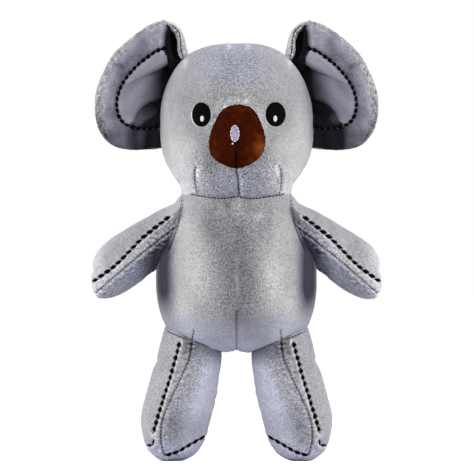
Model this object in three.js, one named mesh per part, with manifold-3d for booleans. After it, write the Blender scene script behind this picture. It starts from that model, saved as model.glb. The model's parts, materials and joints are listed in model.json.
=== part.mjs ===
// Plush koala, 28 cm tall: short-pile fabric panels sewn over polyester stuffing.
// Millimetres, +Z up. The koala faces -Y and stands on its soles at Z = 0.
// Left and right are the koala's own, so its left side is +X.
// Each stuffed form is built three times from one outline: the outside of the fabric,
// the inside of the fabric, and the stuffing a fit clearance further in.
import * as THREE from "three";
import { mergeVertices } from "three/addons/utils/BufferGeometryUtils.js";
import Module from "manifold-3d";

const wasm = await Module();
wasm.setup();

const degrees = Math.PI / 180;

// Fabric and fit
const fabric = 2; // pile and backing together
const seamGap = 0.3; // between two sewn edges
const fitGap = 0.3; // between a piece and the one it lies on
const overrun = 5; // how far a cutter reaches past what it cuts
const turnedPlay = 0.1; // left between a turned form's corners and the flats of its socket
const plumpness = 2.2; // superellipse exponent of the body's and head's sections

// Body
const hipRise = 3; // hip pivot above the crotch
const bodyHeight = 96.3; // crotch to neck seam
const bellyWidth = 102.6;
const bellyFront = 38.5; // centre plane to the front of the belly
const bellyBack = 38;
const neckWidth = 69.5;
const neckFront = 31;
const neckBack = 30;
const sideSeamBack = 3; // side seams lie this far behind the centre plane

// Head
const headHeight = 97.6; // neck seam to crown
const headWidth = 97.2;
const headFront = 43;
const headBack = 43.5;
const muzzleReach = 7.5; // how far the muzzle stands out from the face
const muzzleWidth = 66;
const muzzleHeight = 58; // mouth seam to where the muzzle fades into the brow
const muzzleRoll = 3.5; // rounding of the muzzle under the mouth seam

// Nose
const noseWidth = 36.6;
const noseHeight = 41.4;
const nosePad = 10.5; // how far the padded nose stands off the face
const noseRim = 2.4; // height of its sewn edge
const noseRise = 38.1; // nose centre above the neck seam

// Embroidered eyes and highlights
const threadHeight = 1.3; // satin stitch stands this proud
const eyeWidth = 11.8;
const eyeHeight = 15.2;
const eyeSpacing = 47.8;
const eyeRise = 52.8; // eye centres above the neck seam
const glintWidth = 2.8;
const glintHeight = 4.4;
const glintDrop = 2.7; // glint below the eye's centre
const noseGlintWidth = 6.2;
const noseGlintHeight = 11.6;
const noseGlintRise = 1.6; // above the nose's centre

// Ears
const earWidth = 67; // laid flat, before the inner edge is folded forward
const earHeight = 83;
const earRise = 69.6; // ear centre above the neck seam
const earInset = 15.5; // how far the ear's folded middle lies outside the head's side
const earBehind = 12; // ear plane behind the centre plane
const earFoldFrom = 17.5; // from the ear's centre towards the head
const earFoldRadius = 7;
const earFoldAngle = 82 * degrees;
const earDish = 4; // the rim stands this far in front of the middle
const earRim = 2.2; // half thickness at the sewn edge
const earPad = 4.6; // half thickness of the padded border
const earQuilt = 3.3; // half thickness along the stitched line
const earBowl = 4; // half thickness inside the stitched line
const earFlap = 30 * degrees; // either way about the root

// Arms
const armLength = 65; // shoulder pivot to the paw's tip
const armWidth = 32;
const armDepth = 27;
const armDroop = 34 * degrees; // below level
const shoulderDrop = 21.5; // pivot below the neck seam
const shoulderInset = 3; // pivot inside the body's side
const shoulderRadius = 17;
const armForward = 60 * degrees;
const armBackward = 30 * degrees;

// Legs
const legLength = 76; // hip pivot to the floor
const hipSpacing = 56;
const hipRadius = 20;
const footWidth = 44.2;
const footDepth = 43;
const footSpread = 14; // foot centre outside the hip pivot
const soleFlat = 0.5; // depth of the flat that the foot stands on
const soleSeamRise = 9;
const soleSeamTilt = 12 * degrees; // the sole seam climbs towards the inside
const legForward = 45 * degrees;
const legBackward = 15 * degrees;

// Heights above the floor
const crotchZ = legLength - hipRise;
const neckZ = crotchZ + bodyHeight;
const headZ = neckZ + seamGap;

// Facets
const bodySides = 20;
const limbSides = 16;
const earSides = 16;
const noseSides = 16;
const ovalSides = 6; // a quarter of the way round
const sweepTurns = 6;

const plush = new THREE.MeshStandardMaterial({ color: 0xa3a2a6, roughness: 0.95, metalness: 0 });
const earLining = new THREE.MeshStandardMaterial({ color: 0x8b88a0, roughness: 0.9, metalness: 0 });
const nosePlush = new THREE.MeshStandardMaterial({ color: 0x54200d, roughness: 0.85, metalness: 0 });
const blackThread = new THREE.MeshStandardMaterial({ color: 0x101010, roughness: 0.6, metalness: 0 });
const whiteThread = new THREE.MeshStandardMaterial({ color: 0xf2f2f2, roughness: 0.6, metalness: 0 });
const lilacThread = new THREE.MeshStandardMaterial({ color: 0xc9c0d6, roughness: 0.6, metalness: 0 });
const fibre = new THREE.MeshStandardMaterial({ color: 0xf4f2ec, roughness: 1, metalness: 0 });

// A closed geometry as a manifold solid.
function solidOf(geometry) {
  const bare = geometry.index ? geometry.toNonIndexed() : geometry.clone();
  bare.deleteAttribute("normal");
  bare.deleteAttribute("uv");
  const merged = mergeVertices(bare, 1e-4);
  const mesh = { numProp: 3, vertProperties: merged.attributes.position.array, triVerts: merged.index.array };
  return new wasm.Manifold(new wasm.Mesh(mesh));
}

function meshOf(name, solid, material) {
  const { numProp, numVert, vertProperties, triVerts } = solid.getMesh();
  const positions = new Float32Array(numVert * 3);
  for (let i = 0; i < numVert; i++) {
    positions.set(vertProperties.subarray(i * numProp, i * numProp + 3), i * 3);
  }
  const geometry = new THREE.BufferGeometry();
  geometry.setAttribute("position", new THREE.BufferAttribute(positions, 3));
  geometry.setIndex(new THREE.BufferAttribute(triVerts, 1));
  geometry.computeVertexNormals();
  const mesh = new THREE.Mesh(geometry, material);
  mesh.name = name;
  return mesh;
}

// A smooth run through hand-placed stations, with a few steps between each two.
function smoothStations(stations, steps) {
  const places = stations.map((_, i) => i);
  const spline = new THREE.CubicInterpolant(places, stations.flat(), stations[0].length);
  const count = (stations.length - 1) * steps;
  return Array.from({ length: count + 1 }, (_, i) => [...spline.evaluate(i / steps)]);
}

// One superellipse ring round (x, y), with its own reach to the front (-Y) and to the back.
function sectionRing({ z, half, front, back }) {
  return Array.from({ length: bodySides }, (_, i) => {
    const angle = (2 * Math.PI * i) / bodySides;
    const across = Math.sign(Math.cos(angle)) * Math.abs(Math.cos(angle)) ** (2 / plumpness);
    const along = Math.sign(Math.sin(angle)) * Math.abs(Math.sin(angle)) ** (2 / plumpness);
    return new THREE.Vector3(half * across, along * (along > 0 ? back : front), z);
  });
}

// A closed surface over a stack of rings, with a point at either end.
function closedLoft(start, rings, end) {
  const sides = rings[0].length;
  const points = [start, ...rings.flat(), end];
  const index = [];
  for (let i = 0; i < sides; i++) {
    const j = (i + 1) % sides;
    index.push(0, 1 + j, 1 + i);
    for (let r = 0; r + 1 < rings.length; r++) {
      const low = 1 + r * sides;
      const high = low + sides;
      index.push(low + i, low + j, high + j, low + i, high + j, high + i);
    }
    const last = 1 + (rings.length - 1) * sides;
    index.push(last + i, last + j, points.length - 1);
  }
  return new THREE.BufferGeometry().setFromPoints(points).setIndex(index);
}

// The same closed geometry with its surface moved out along its normals, or in if distance is negative.
function puffed(geometry, distance) {
  const moved = geometry.clone();
  moved.computeVertexNormals();
  const { position, normal } = moved.attributes;
  for (let i = 0; i < position.count; i++) {
    position.setXYZ(
      i,
      position.getX(i) + distance * normal.getX(i),
      position.getY(i) + distance * normal.getY(i),
      position.getZ(i) + distance * normal.getZ(i),
    );
  }
  return moved;
}

// The same closed geometry on the other side of the centre plane.
function mirrored(geometry) {
  const over = geometry.clone().scale(-1, 1, 1);
  const order = over.index.array;
  for (let i = 0; i < order.length; i += 3) [order[i + 1], order[i + 2]] = [order[i + 2], order[i + 1]];
  return over;
}

// A block that covers everything on one side of a plane through point, along normal.
function halfSpace(point, normal) {
  const size = bodyHeight + headHeight + legLength;
  const block = new THREE.BoxGeometry(2 * size, 2 * size, size).translate(0, 0, size / 2);
  const turn = new THREE.Quaternion().setFromUnitVectors(new THREE.Vector3(0, 0, 1), normal);
  return solidOf(block.applyQuaternion(turn).translate(point.x, point.y, point.z));
}

// The two sides of a solid, cut along a seam plane with the seam's gap between them.
function splitAtSeam(solid, point, normal) {
  const unit = normal.clone().normalize();
  const ahead = point.clone().addScaledVector(unit, seamGap / 2);
  const behind = point.clone().addScaledVector(unit, -seamGap / 2);
  return [solid.intersect(halfSpace(ahead, unit)), solid.intersect(halfSpace(behind, unit.clone().negate()))];
}

function turned(point, pivot, axis, angle) {
  return point.clone().sub(pivot).applyAxisAngle(axis, angle).add(pivot);
}

// The space that a limb passes through between its two limits. Each ring is parted at its sides:
// its back half turns to the back limit, and its front half to the front limit.
function sweptLoft(rings, end, pivot, axis, front, back) {
  const sides = rings[0].length;
  const arc = (point, from, to) => {
    const angleAt = (i) => from + ((to - from) * i) / sweepTurns;
    return Array.from({ length: sweepTurns + 1 }, (_, i) => turned(point, pivot, axis, angleAt(i)));
  };
  const parted = rings.map((ring) => [
    ...arc(ring[0], front, back),
    ...ring.slice(1, sides / 2).map((point) => turned(point, pivot, axis, back)),
    ...arc(ring[sides / 2], back, front),
    ...ring.slice(sides / 2 + 1).map((point) => turned(point, pivot, axis, front)),
  ]);
  return closedLoft(pivot, parted, turned(end, pivot, axis, (front + back) / 2));
}

// A geometry at several turns about an axis through pivot, joined.
function turnedCopies(geometry, pivot, axis, limit) {
  const copies = [-1, -0.5, 0, 0.5, 1].map((share) => {
    const turn = new THREE.Quaternion().setFromAxisAngle(axis, share * limit);
    const copy = geometry.clone().translate(-pivot.x, -pivot.y, -pivot.z).applyQuaternion(turn);
    return solidOf(copy.translate(pivot.x, pivot.y, pivot.z));
  });
  return copies.reduce((all, copy) => all.add(copy));
}

const at = (x, y, z) => new THREE.Vector3(x, y, z);
const alongX = at(1, 0, 0);
const alongY = at(0, 1, 0);
const alongZ = at(0, 0, 1);

// Body: stations of [height, half width, front, back], from the crotch up to the neck seam.
const bellyHalf = bellyWidth / 2;
const bodyShares = [
  [0, 0, 0, 0],
  [0.07, 0.76, 0.74, 0.76],
  [0.17, 0.905, 0.9, 0.94],
  [0.33, 0.985, 0.99, 1],
  [0.5, 1, 1, 0.98],
  [0.67, 0.95, 0.96, 0.9],
  [0.84, 0.82, 0.88, 0.82],
];
const neckStation = (height) => [height, neckWidth / 2, neckFront, neckBack];
const bodyStations = [
  ...bodyShares.map(([height, half, front, back]) => [
    height * bodyHeight,
    half * bellyHalf,
    front * bellyFront,
    back * bellyBack,
  ]),
  neckStation(bodyHeight),
  neckStation(bodyHeight + overrun),
];

function bodyGeometry(distance) {
  const rings = smoothStations(bodyStations, 2)
    .slice(1)
    .map(([height, half, front, back]) => sectionRing({ z: crotchZ + height, half, front, back }));
  return puffed(closedLoft(at(0, 0, crotchZ), rings, at(0, 0, neckZ + overrun)), distance);
}

// The station at a height, between two of a run.
function stationAt(stations, height) {
  const run = smoothStations(stations, 8);
  const next = run.findIndex((row) => row[0] > height);
  const [low, high] = [run[next - 1], run[next]];
  const share = (height - low[0]) / (high[0] - low[0]);
  return low.map((value, i) => value + share * (high[i] - value));
}
const bodyHalfAt = (height) => stationAt(bodyStations, height)[1];

// Head: stations of [height, half width, front, back], from the neck seam up to the crown.
const headShares = [
  [0.2, 0.905, 0.93, 0.87],
  [0.34, 0.995, 0.99, 0.96],
  [0.55, 1, 1, 1],
  [0.72, 0.915, 0.93, 0.94],
  [0.87, 0.745, 0.75, 0.76],
  [0.96, 0.5, 0.49, 0.5],
  [1, 0, 0, 0],
];
const neckFlare = 1.01;
const neckFlareShare = 0.055;
const headStations = [
  neckStation(-overrun),
  neckStation(0),
  [neckFlareShare * headHeight, neckFlare * (neckWidth / 2), neckFlare * neckFront, neckFlare * neckBack],
  ...headShares.map(([height, half, front, back]) => [
    height * headHeight,
    (half * headWidth) / 2,
    front * headFront,
    back * headBack,
  ]),
];

// How far the muzzle stands out of the face at a point across it and above the mouth seam.
const bump = (share) => (1 - Math.min(1, share * share)) ** 2;
const muzzleFullShare = 0.35; // the muzzle keeps its full reach up to this share of its height
function muzzleAt(across, height) {
  const up = Math.max(0, height / muzzleHeight - muzzleFullShare) / (1 - muzzleFullShare);
  const roll = height > muzzleRoll ? 1 : Math.sqrt(Math.max(0, 1 - (1 - height / muzzleRoll) ** 2));
  return muzzleReach * bump(across / (muzzleWidth / 2)) * bump(up) * roll;
}

function headGeometry(distance) {
  const rings = smoothStations(headStations, 2)
    .slice(0, -1)
    .map(([height, half, front, back]) => {
      const ring = sectionRing({ z: headZ + height, half, front, back });
      ring.filter((point) => point.y < 0).forEach((point) => (point.y -= muzzleAt(point.x, height)));
      return ring;
    });
  return puffed(closedLoft(at(0, 0, headZ - overrun), rings, at(0, 0, headZ + headHeight)), distance);
}

const headHalfAt = (height) => stationAt(headStations, height)[1];

// How far the face reaches forward of the centre plane, beside its middle and above the neck seam.
function faceReach(across, height) {
  const [, half, front] = stationAt(headStations, height);
  return front * (1 - Math.abs(across / half) ** plumpness) ** (1 / plumpness) + muzzleAt(across, height);
}

const aboveNeck = halfSpace(at(0, 0, headZ), alongZ);
const headSolid = (distance) => solidOf(headGeometry(distance)).intersect(aboveNeck);
const headOutside = headSolid(fitGap);

// Limbs: half a ball round the pivot, then an oval tube. Each is built upwards from its pivot and
// tilted about Y into place, which keeps its front and back where they are.
// Stations are [distance from the pivot, shift of the middle, half width, half depth].
const ballLevels = limbSides / 4;
function limb({ pivot, tilt, radius, stations, tip, forward, backward }) {
  const placed = (point) => point.applyAxisAngle(alongY, tilt).add(pivot);
  const axis = alongX.clone().applyAxisAngle(alongY, tilt);
  const ring = ([out, shift, half, deep]) =>
    Array.from({ length: limbSides }, (_, i) => {
      const angle = (2 * Math.PI * i) / limbSides;
      return placed(at(shift + half * Math.cos(angle), deep * Math.sin(angle), out));
    });
  const ball = Array.from({ length: ballLevels - 1 }, (_, i) => {
    const angle = ((i + 1) / ballLevels) * (Math.PI / 2);
    const level = radius * Math.sin(angle);
    return ring([-radius * Math.cos(angle), 0, level, level]);
  });
  const tube = [[0, 0, radius, radius], ...stations].map(ring);
  const pole = placed(at(0, 0, -radius));
  const end = placed(at(tip.shift, 0, tip.out));
  return {
    geometry: (distance) => puffed(closedLoft(pole, [...ball, ...tube], end), distance),
    sweep: (distance) => puffed(sweptLoft(tube, end, pivot, axis, forward, -backward), distance),
  };
}

// Leg stations shift outwards on the way down, which is negative once the leg is turned over.
const legShares = [
  [0.24, -0.29, 0.94, 0.94],
  [0.48, -0.6, 0.99, 0.98],
  [0.66, -0.8, 0.99, 1],
  [0.8, -0.84, 0.9, 0.95],
  [0.92, -0.9, 0.74, 0.82],
  [0.98, -1, 0.42, 0.5],
];
const hipPivot = at(hipSpacing / 2, 0, legLength);
const leg = limb({
  pivot: hipPivot,
  tilt: Math.PI,
  radius: hipRadius,
  stations: legShares.map(([out, shift, half, deep]) => [
    out * legLength,
    shift * footSpread,
    (half * footWidth) / 2,
    (deep * footDepth) / 2,
  ]),
  tip: { shift: -footSpread, out: legLength + soleFlat },
  forward: legForward,
  backward: legBackward,
});

// Arm stations shift down towards the paw.
const armShares = [
  [0.3, -0.05, 0.97, 1.03],
  [0.55, -0.02, 1, 1],
  [0.7, 0.03, 0.98, 0.97],
  [0.82, 0.14, 0.83, 0.84],
  [0.93, 0.34, 0.5, 0.54],
];
const armTipShare = 0.46;
const shoulderPivot = at(
  bodyHalfAt(bodyHeight - shoulderDrop) - shoulderInset,
  0,
  neckZ - shoulderDrop,
);
const arm = limb({
  pivot: shoulderPivot,
  tilt: Math.PI / 2 + armDroop,
  radius: shoulderRadius,
  stations: armShares.map(([out, drop, half, deep]) => [
    out * armLength,
    (drop * armWidth) / 2,
    (half * armWidth) / 2,
    (deep * armDepth) / 2,
  ]),
  tip: { shift: (armTipShare * armWidth) / 2, out: armLength },
  forward: armForward,
  backward: armBackward,
});

// One layer of a sewn pad, from low to high, which are functions of the pad's height there. The pad is
// given as an outline, rings of [share of the outline, height], and what places a point of it.
function padLayer({ outline, rings, place }, low, high) {
  const side = (level) =>
    rings.map(([share, height]) =>
      outline.map((point) => place(share * point.x, share * point.y, level(height), share)),
    );
  const middle = rings[0][1];
  const stack = [...side(low), ...side(high).reverse()];
  return closedLoft(place(0, 0, low(middle), 0), stack, place(0, 0, high(middle), 0));
}

// A closed outline of evenly spaced points through hand-placed shares of half a width and half a height.
function padOutline(shares, width, height, count) {
  const points = shares.map(([x, y]) => at((x * width) / 2, (y * height) / 2, 0));
  return new THREE.CatmullRomCurve3(points, true).getSpacedPoints(count).slice(0, -1);
}

// Ears: a flat outline of [towards the head, up], padded, dished and folded forward near the head.
const earOutlineShares = [
  [0.4, 1.03],
  [0.8, 0.82],
  [1.05, 0.35],
  [1.07, -0.2],
  [0.75, -0.72],
  [0.1, -0.95],
  [-0.42, -0.93],
  [-0.82, -0.66],
  [-0.92, -0.2],
  [-0.8, 0.2],
  [-0.42, 0.66],
];
const earRings = [
  [0.36, earBowl],
  [0.66, earQuilt],
  [0.85, earPad],
  [0.95, (earPad + earRim) / 2],
  [1, earRim],
];
const earOutline = padOutline(earOutlineShares, earWidth, earHeight, earSides);
const earCentre = at(headHalfAt(earRise) + earInset, earBehind, headZ + earRise);

// A point of the ear: inward and up on the flat pattern, and its height above the middle surface.
function earPoint(inward, up, height, share) {
  const past = Math.max(0, inward - earFoldFrom);
  const turn = Math.min(past / earFoldRadius, earFoldAngle);
  const rest = past - turn * earFoldRadius;
  const across = inward - past + earFoldRadius * Math.sin(turn) + rest * Math.cos(turn);
  const forward = earFoldRadius * (1 - Math.cos(turn)) + rest * Math.sin(turn) + earDish * share * share;
  return at(
    earCentre.x - across + height * Math.sin(turn),
    earCentre.y - forward - height * Math.cos(turn),
    earCentre.z + up,
  );
}

// The ear's root line on the head, which it flaps about.
const earRootTop = at(headHalfAt(earRise + earHeight / 4), earBehind / 2, earCentre.z + earHeight / 4);
const earRootBottom = at(headHalfAt(earRise - earHeight / 3), earBehind, earCentre.z - earHeight / 3);
const earRootAxis = earRootTop.clone().sub(earRootBottom).normalize();

function addEars(left, right) {
  const inside = (h) => Math.max(h - fabric, seamGap / 2);
  const wad = (h) => h - fabric - fitGap;
  const ear = { outline: earOutline, rings: earRings, place: earPoint };
  const layers = {
    ear_front_panel: [padLayer(ear, inside, (h) => h), earLining],
    ear_back_panel: [padLayer(ear, (h) => -h, (h) => -inside(h)), plush],
    ear_padding: [padLayer({ ...ear, rings: earRings.slice(0, -1) }, (h) => -wad(h), wad), fibre],
  };
  const headClear = turnedCopies(headGeometry(fitGap), earRootBottom, earRootAxis, earFlap);
  for (const [name, [geometry, material]] of Object.entries(layers)) {
    addPair(left, right, name, solidOf(geometry).subtract(headClear), material);
  }
}

function addPair(left, right, name, solid, material) {
  left.add(meshOf(`${name}_left`, solid, material));
  right.add(meshOf(`${name}_right`, solid, material));
}

// Round a limb in its socket. Facets curve both ways on the ball, so a corner that turns over
// the middle of a facet stands proud of it by twice what one bend would give.
const turnedGap = turnedPlay + hipRadius * Math.sin(Math.PI / limbSides) ** 2;

// A shell of fabric is the outside of a form less its inside.
const shellOf = (form) => form(0).subtract(form(-fabric));
const coreOf = (form) => form(-fabric - fitGap);

function addBody(group) {
  const room = [leg.geometry, leg.sweep, arm.geometry, arm.sweep].map((form) => form(turnedGap));
  const sockets = [...room, ...room.map(mirrored)].map(solidOf);
  const belowNeck = halfSpace(at(0, 0, neckZ), alongZ.clone().negate());
  const bodySolid = (distance) => solidOf(bodyGeometry(distance)).intersect(belowNeck);
  const trimmed = (solid) => sockets.reduce((rest, socket) => rest.subtract(socket), solid);
  const [back, front] = splitAtSeam(trimmed(shellOf(bodySolid)), at(0, sideSeamBack, 0), alongY);
  const [frontLeft, frontRight] = splitAtSeam(front, at(0, 0, 0), alongX);
  const [backLeft, backRight] = splitAtSeam(back, at(0, 0, 0), alongX);
  group.add(
    meshOf("body_front_panel_left", frontLeft, plush),
    meshOf("body_front_panel_right", frontRight, plush),
    meshOf("body_back_panel_left", backLeft, plush),
    meshOf("body_back_panel_right", backRight, plush),
    meshOf("body_stuffing", trimmed(coreOf(bodySolid)), fibre),
  );
}

function addHead(group) {
  const [back, face] = splitAtSeam(shellOf(headSolid), at(0, sideSeamBack, 0), alongY);
  const [backLeft, backRight] = splitAtSeam(back, at(0, 0, 0), alongX);
  group.add(
    meshOf("head_face_panel", face, plush),
    meshOf("head_back_panel_left", backLeft, plush),
    meshOf("head_back_panel_right", backRight, plush),
    meshOf("head_stuffing", coreOf(headSolid), fibre),
  );
}

// Nose: a pad on the face, widest low down.
const noseHalfShares = [
  [0.47, 0.86],
  [0.77, 0.47],
  [0.97, 0.05],
  [0.97, -0.35],
  [0.8, -0.73],
  [0.4, -0.94],
];
const noseOutlineShares = [
  [0, 1],
  ...noseHalfShares,
  [0, -1],
  ...noseHalfShares.toReversed().map(([x, z]) => [-x, z]),
];
const noseRings = [
  [0.35, 0.96 * nosePad],
  [0.65, 0.84 * nosePad],
  [0.88, 0.58 * nosePad],
  [1, noseRim],
];
const nose = {
  outline: padOutline(noseOutlineShares, -noseWidth, noseHeight, noseSides),
  rings: noseRings,
  place: (x, z, height) => at(x, -faceReach(x, noseRise + z) - fitGap - height, headZ + noseRise + z),
};

// An upright oval column that reaches from the middle of the head out past the nose.
function ovalColumn(x, z, width, height) {
  const oval = new THREE.Shape().absellipse(0, 0, width / 2, height / 2, 0, 2 * Math.PI);
  const depth = headFront + muzzleReach + nosePad + overrun;
  return solidOf(
    new THREE.ExtrudeGeometry(oval, { depth, bevelEnabled: false, curveSegments: ovalSides })
      .rotateX(Math.PI / 2)
      .translate(x, 0, z),
  );
}

function addFace(group) {
  const clearOfHead = (pad, low, high) => solidOf(padLayer(pad, low, high)).subtract(headOutside);
  const panel = clearOfHead(nose, (h) => Math.max(h - fabric, 0), (h) => h);
  const wad = clearOfHead({ ...nose, rings: noseRings.slice(0, -1) }, () => 0, (h) => h - fabric - fitGap);
  const raised = (distance) => solidOf(padLayer(nose, () => distance, (h) => h + distance));
  const glint = ovalColumn(0, headZ + noseRise + noseGlintRise, noseGlintWidth, noseGlintHeight)
    .intersect(raised(fitGap + threadHeight))
    .subtract(raised(fitGap));
  group.add(
    meshOf("nose_panel", panel, nosePlush),
    meshOf("nose_stuffing", wad, fibre),
    meshOf("nose_highlight", glint, lilacThread),
  );

  const eyeLayer = (low, high, x, z, width, height) =>
    ovalColumn(x, z, width, height).intersect(headSolid(high)).subtract(headSolid(low));
  const eyeZ = headZ + eyeRise;
  const eyeTop = fitGap + threadHeight;
  for (const [side, x] of Object.entries({ left: eyeSpacing / 2, right: -eyeSpacing / 2 })) {
    const eye = eyeLayer(fitGap, eyeTop, x, eyeZ, eyeWidth, eyeHeight);
    const dotBase = eyeTop + fitGap;
    const dotTop = eyeTop + 2 * fitGap + threadHeight / 2;
    const dot = eyeLayer(dotBase, dotTop, x, eyeZ - glintDrop, glintWidth, glintHeight);
    group.add(meshOf(`eye_${side}`, eye, blackThread), meshOf(`eye_highlight_${side}`, dot, whiteThread));
  }
}

function addArms(left, right) {
  const armSolid = (distance) => solidOf(arm.geometry(distance));
  const acrossArm = at(Math.sin(armDroop), 0, Math.cos(armDroop));
  const [upper, lower] = splitAtSeam(shellOf(armSolid), shoulderPivot, acrossArm);
  addPair(left, right, "arm_upper_panel", upper, plush);
  addPair(left, right, "arm_lower_panel", lower, plush);
  addPair(left, right, "arm_stuffing", coreOf(armSolid), fibre);
}

function addLegs(left, right) {
  const floor = halfSpace(at(0, 0, 0), alongZ);
  const legSolid = (distance) => solidOf(leg.geometry(distance));
  const shell = shellOf(legSolid).intersect(floor);
  const soleSeam = at(hipPivot.x + footSpread, 0, soleSeamRise);
  const [tube, sole] = splitAtSeam(shell, soleSeam, at(Math.sin(soleSeamTilt), 0, Math.cos(soleSeamTilt)));
  const seamRun = at(footWidth / 2, 0, soleSeamRise - legLength);
  const [outer, inner] = splitAtSeam(tube, hipPivot, at(-seamRun.z, 0, seamRun.x));
  addPair(left, right, "leg_outer_panel", outer, plush);
  addPair(left, right, "leg_inner_panel", inner, plush);
  addPair(left, right, "leg_sole_panel", sole, plush);
  addPair(left, right, "leg_stuffing", coreOf(legSolid).intersect(floor), fibre);
}

const koala = new THREE.Group();
const leftSide = new THREE.Group();
const rightSide = new THREE.Group();
rightSide.scale.x = -1;
koala.add(leftSide, rightSide);

addBody(koala);
addHead(koala);
addFace(koala);
addEars(leftSide, rightSide);
addArms(leftSide, rightSide);
addLegs(leftSide, rightSide);

// The origin lies on the floor under the middle of the koala's box.
const box = new THREE.Box3().setFromObject(koala);
koala.position.y = -(box.min.y + box.max.y) / 2;

export default koala;
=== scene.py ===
# Plush koala: the sewn skins, top stitching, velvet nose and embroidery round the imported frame.
# Forms are worked out in millimetres, with the koala's middle plane at y = 0 and its face
# towards -Y, and then placed in the frame in metres. Left and right are the koala's own.
import json
import math

import bpy
import numpy as np
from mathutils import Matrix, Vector
from mathutils.bvhtree import BVHTree


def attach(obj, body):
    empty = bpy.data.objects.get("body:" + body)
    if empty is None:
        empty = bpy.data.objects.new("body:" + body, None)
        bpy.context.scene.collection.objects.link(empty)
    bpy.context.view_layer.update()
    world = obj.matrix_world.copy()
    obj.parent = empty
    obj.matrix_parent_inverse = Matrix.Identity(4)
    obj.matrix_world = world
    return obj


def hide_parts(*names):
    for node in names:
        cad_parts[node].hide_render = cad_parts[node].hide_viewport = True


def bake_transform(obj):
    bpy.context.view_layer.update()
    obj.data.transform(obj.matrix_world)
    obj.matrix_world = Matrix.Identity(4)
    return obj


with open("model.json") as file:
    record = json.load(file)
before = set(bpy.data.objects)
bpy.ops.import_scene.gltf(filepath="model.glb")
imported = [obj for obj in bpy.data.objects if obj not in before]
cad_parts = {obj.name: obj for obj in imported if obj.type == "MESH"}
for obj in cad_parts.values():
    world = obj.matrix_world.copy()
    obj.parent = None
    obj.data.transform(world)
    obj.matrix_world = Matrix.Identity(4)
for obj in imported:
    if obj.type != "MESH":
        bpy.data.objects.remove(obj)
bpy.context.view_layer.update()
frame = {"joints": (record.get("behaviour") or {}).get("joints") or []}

MM = 0.001
joints = {joint["name"]: joint for joint in frame["joints"]}
MIDDLE = np.array([0, joints["neck_turn"]["pos_m"][1], 0])
SIDES = {"left": 1, "right": -1}

# The photograph, front on: its scale, the koala's middle and the floor
PHOTO_PX = 474
MM_PER_PX = 0.64
MIDDLE_PX = 236.5
FLOOR_PX = 461


def seen(*places):
    """Places in the photograph, in pixels, as (across, up) in millimetres."""
    return np.array([((x - MIDDLE_PX) * MM_PER_PX, (FLOOR_PX - y) * MM_PER_PX) for x, y in places])


# Curves and fields


def ramp(value, low, high):
    """0 before low and 1 past high, with a smooth rise between. high may be the smaller."""
    share = np.clip((value - low) / (high - low), 0, 1)
    return share * share * (3 - 2 * share)


def hump(value, middle, width):
    """A smooth bump, 1 at the middle."""
    return np.exp(-(((value - middle) / width) ** 2))


def through(rows, count, closed=False):
    """Evenly spaced points on a smooth curve through given rows."""
    rows = np.array(rows, float)
    if closed:
        rows = np.vstack([rows[-2:], rows, rows[:3]])
    at = np.concatenate([[0], np.cumsum(np.linalg.norm(np.diff(rows, axis=0), axis=1))])
    slope = np.gradient(rows, at, axis=0)
    want = np.linspace(at[2], at[-3], count, endpoint=False) if closed else np.linspace(0, at[-1], count)
    i = np.clip(np.searchsorted(at, want, side="right") - 1, 0, len(at) - 2)
    span = (at[i + 1] - at[i])[:, None]
    t = (want - at[i])[:, None] / span
    return (
        rows[i] * (2 * t**3 - 3 * t**2 + 1)
        + rows[i + 1] * (3 * t**2 - 2 * t**3)
        + slope[i] * span * (t**3 - 2 * t**2 + t)
        + slope[i + 1] * span * (t**3 - t**2)
    )


def resampled(values, count, axis, closed):
    """The values of a grid, smoothly resampled to count along one axis."""
    values = np.moveaxis(values, axis, 0)
    have = len(values)
    at = np.arange(count) * have / count if closed else np.linspace(0, have - 1, count)
    base = np.floor(at).astype(int)
    share = (at - base).reshape(-1, *[1] * (values.ndim - 1))

    def step(k):
        return values[(base + k) % have if closed else np.clip(base + k, 0, have - 1)]

    before, here, after, beyond = (step(k) for k in (-1, 0, 1, 2))
    bend = 2 * before - 5 * here + 4 * after - beyond
    twist = 3 * (here - after) + beyond - before
    return np.moveaxis(here + share / 2 * (after - before + share * (bend + share * twist)), 0, axis)


def regridded(values, rings, sides):
    return resampled(resampled(values, rings, 0, False), sides, 1, True)


def ringed(outline):
    """A closed outline as a line that comes back to its first point."""
    return np.vstack([outline, outline[:1]])


def beside(across, up, line):
    """For places of the front view: distance to a line, how far along it, and the side, -1 or 1."""
    flat = np.stack([np.ravel(across), np.ravel(up)], axis=1)
    near = np.full(len(flat), np.inf)
    along = np.zeros(len(flat))
    side = np.ones(len(flat))
    passed = 0.0
    for start, end in zip(line[:-1], line[1:]):
        run = end - start
        length = np.linalg.norm(run)
        share = np.clip((flat - start) @ run / length**2, 0, 1)
        off = flat - start - share[:, None] * run
        distance = np.hypot(off[:, 0], off[:, 1])
        closer = distance < near
        near[closer] = distance[closer]
        along[closer] = passed + share[closer] * length
        side[closer] = np.sign(run[0] * off[closer, 1] - run[1] * off[closer, 0])
        passed += length
    shape = np.shape(across)
    return near.reshape(shape), along.reshape(shape), side.reshape(shape)


def right_of(across, up, line):
    """How far places of the front view lie to the right of a line's run, below 0 on its left."""
    off, _, side = beside(across, up, line)
    return off * -side


def groove(distance, depth, width, puff=0.0):
    """A seam's valley, with the stuffing standing up a little on both sides of it."""
    return puff * hump(np.abs(distance), 2.4 * width, 1.4 * width) - depth * hump(distance, 0, width)


def lumps(points, size, seed):
    """Smooth uneven bumps about size across, from about -1 to 1."""
    chance = np.random.default_rng(seed)
    total = np.zeros(points.shape[:-1])
    waves = 14
    for _ in range(waves):
        way = chance.normal(size=3)
        way *= 2 * np.pi / (size * chance.uniform(1.2, 2.6)) / np.linalg.norm(way)
        total += np.sin(points @ way + chance.uniform(0, 2 * np.pi))
    return total * math.sqrt(2 / waves) / 2


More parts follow.
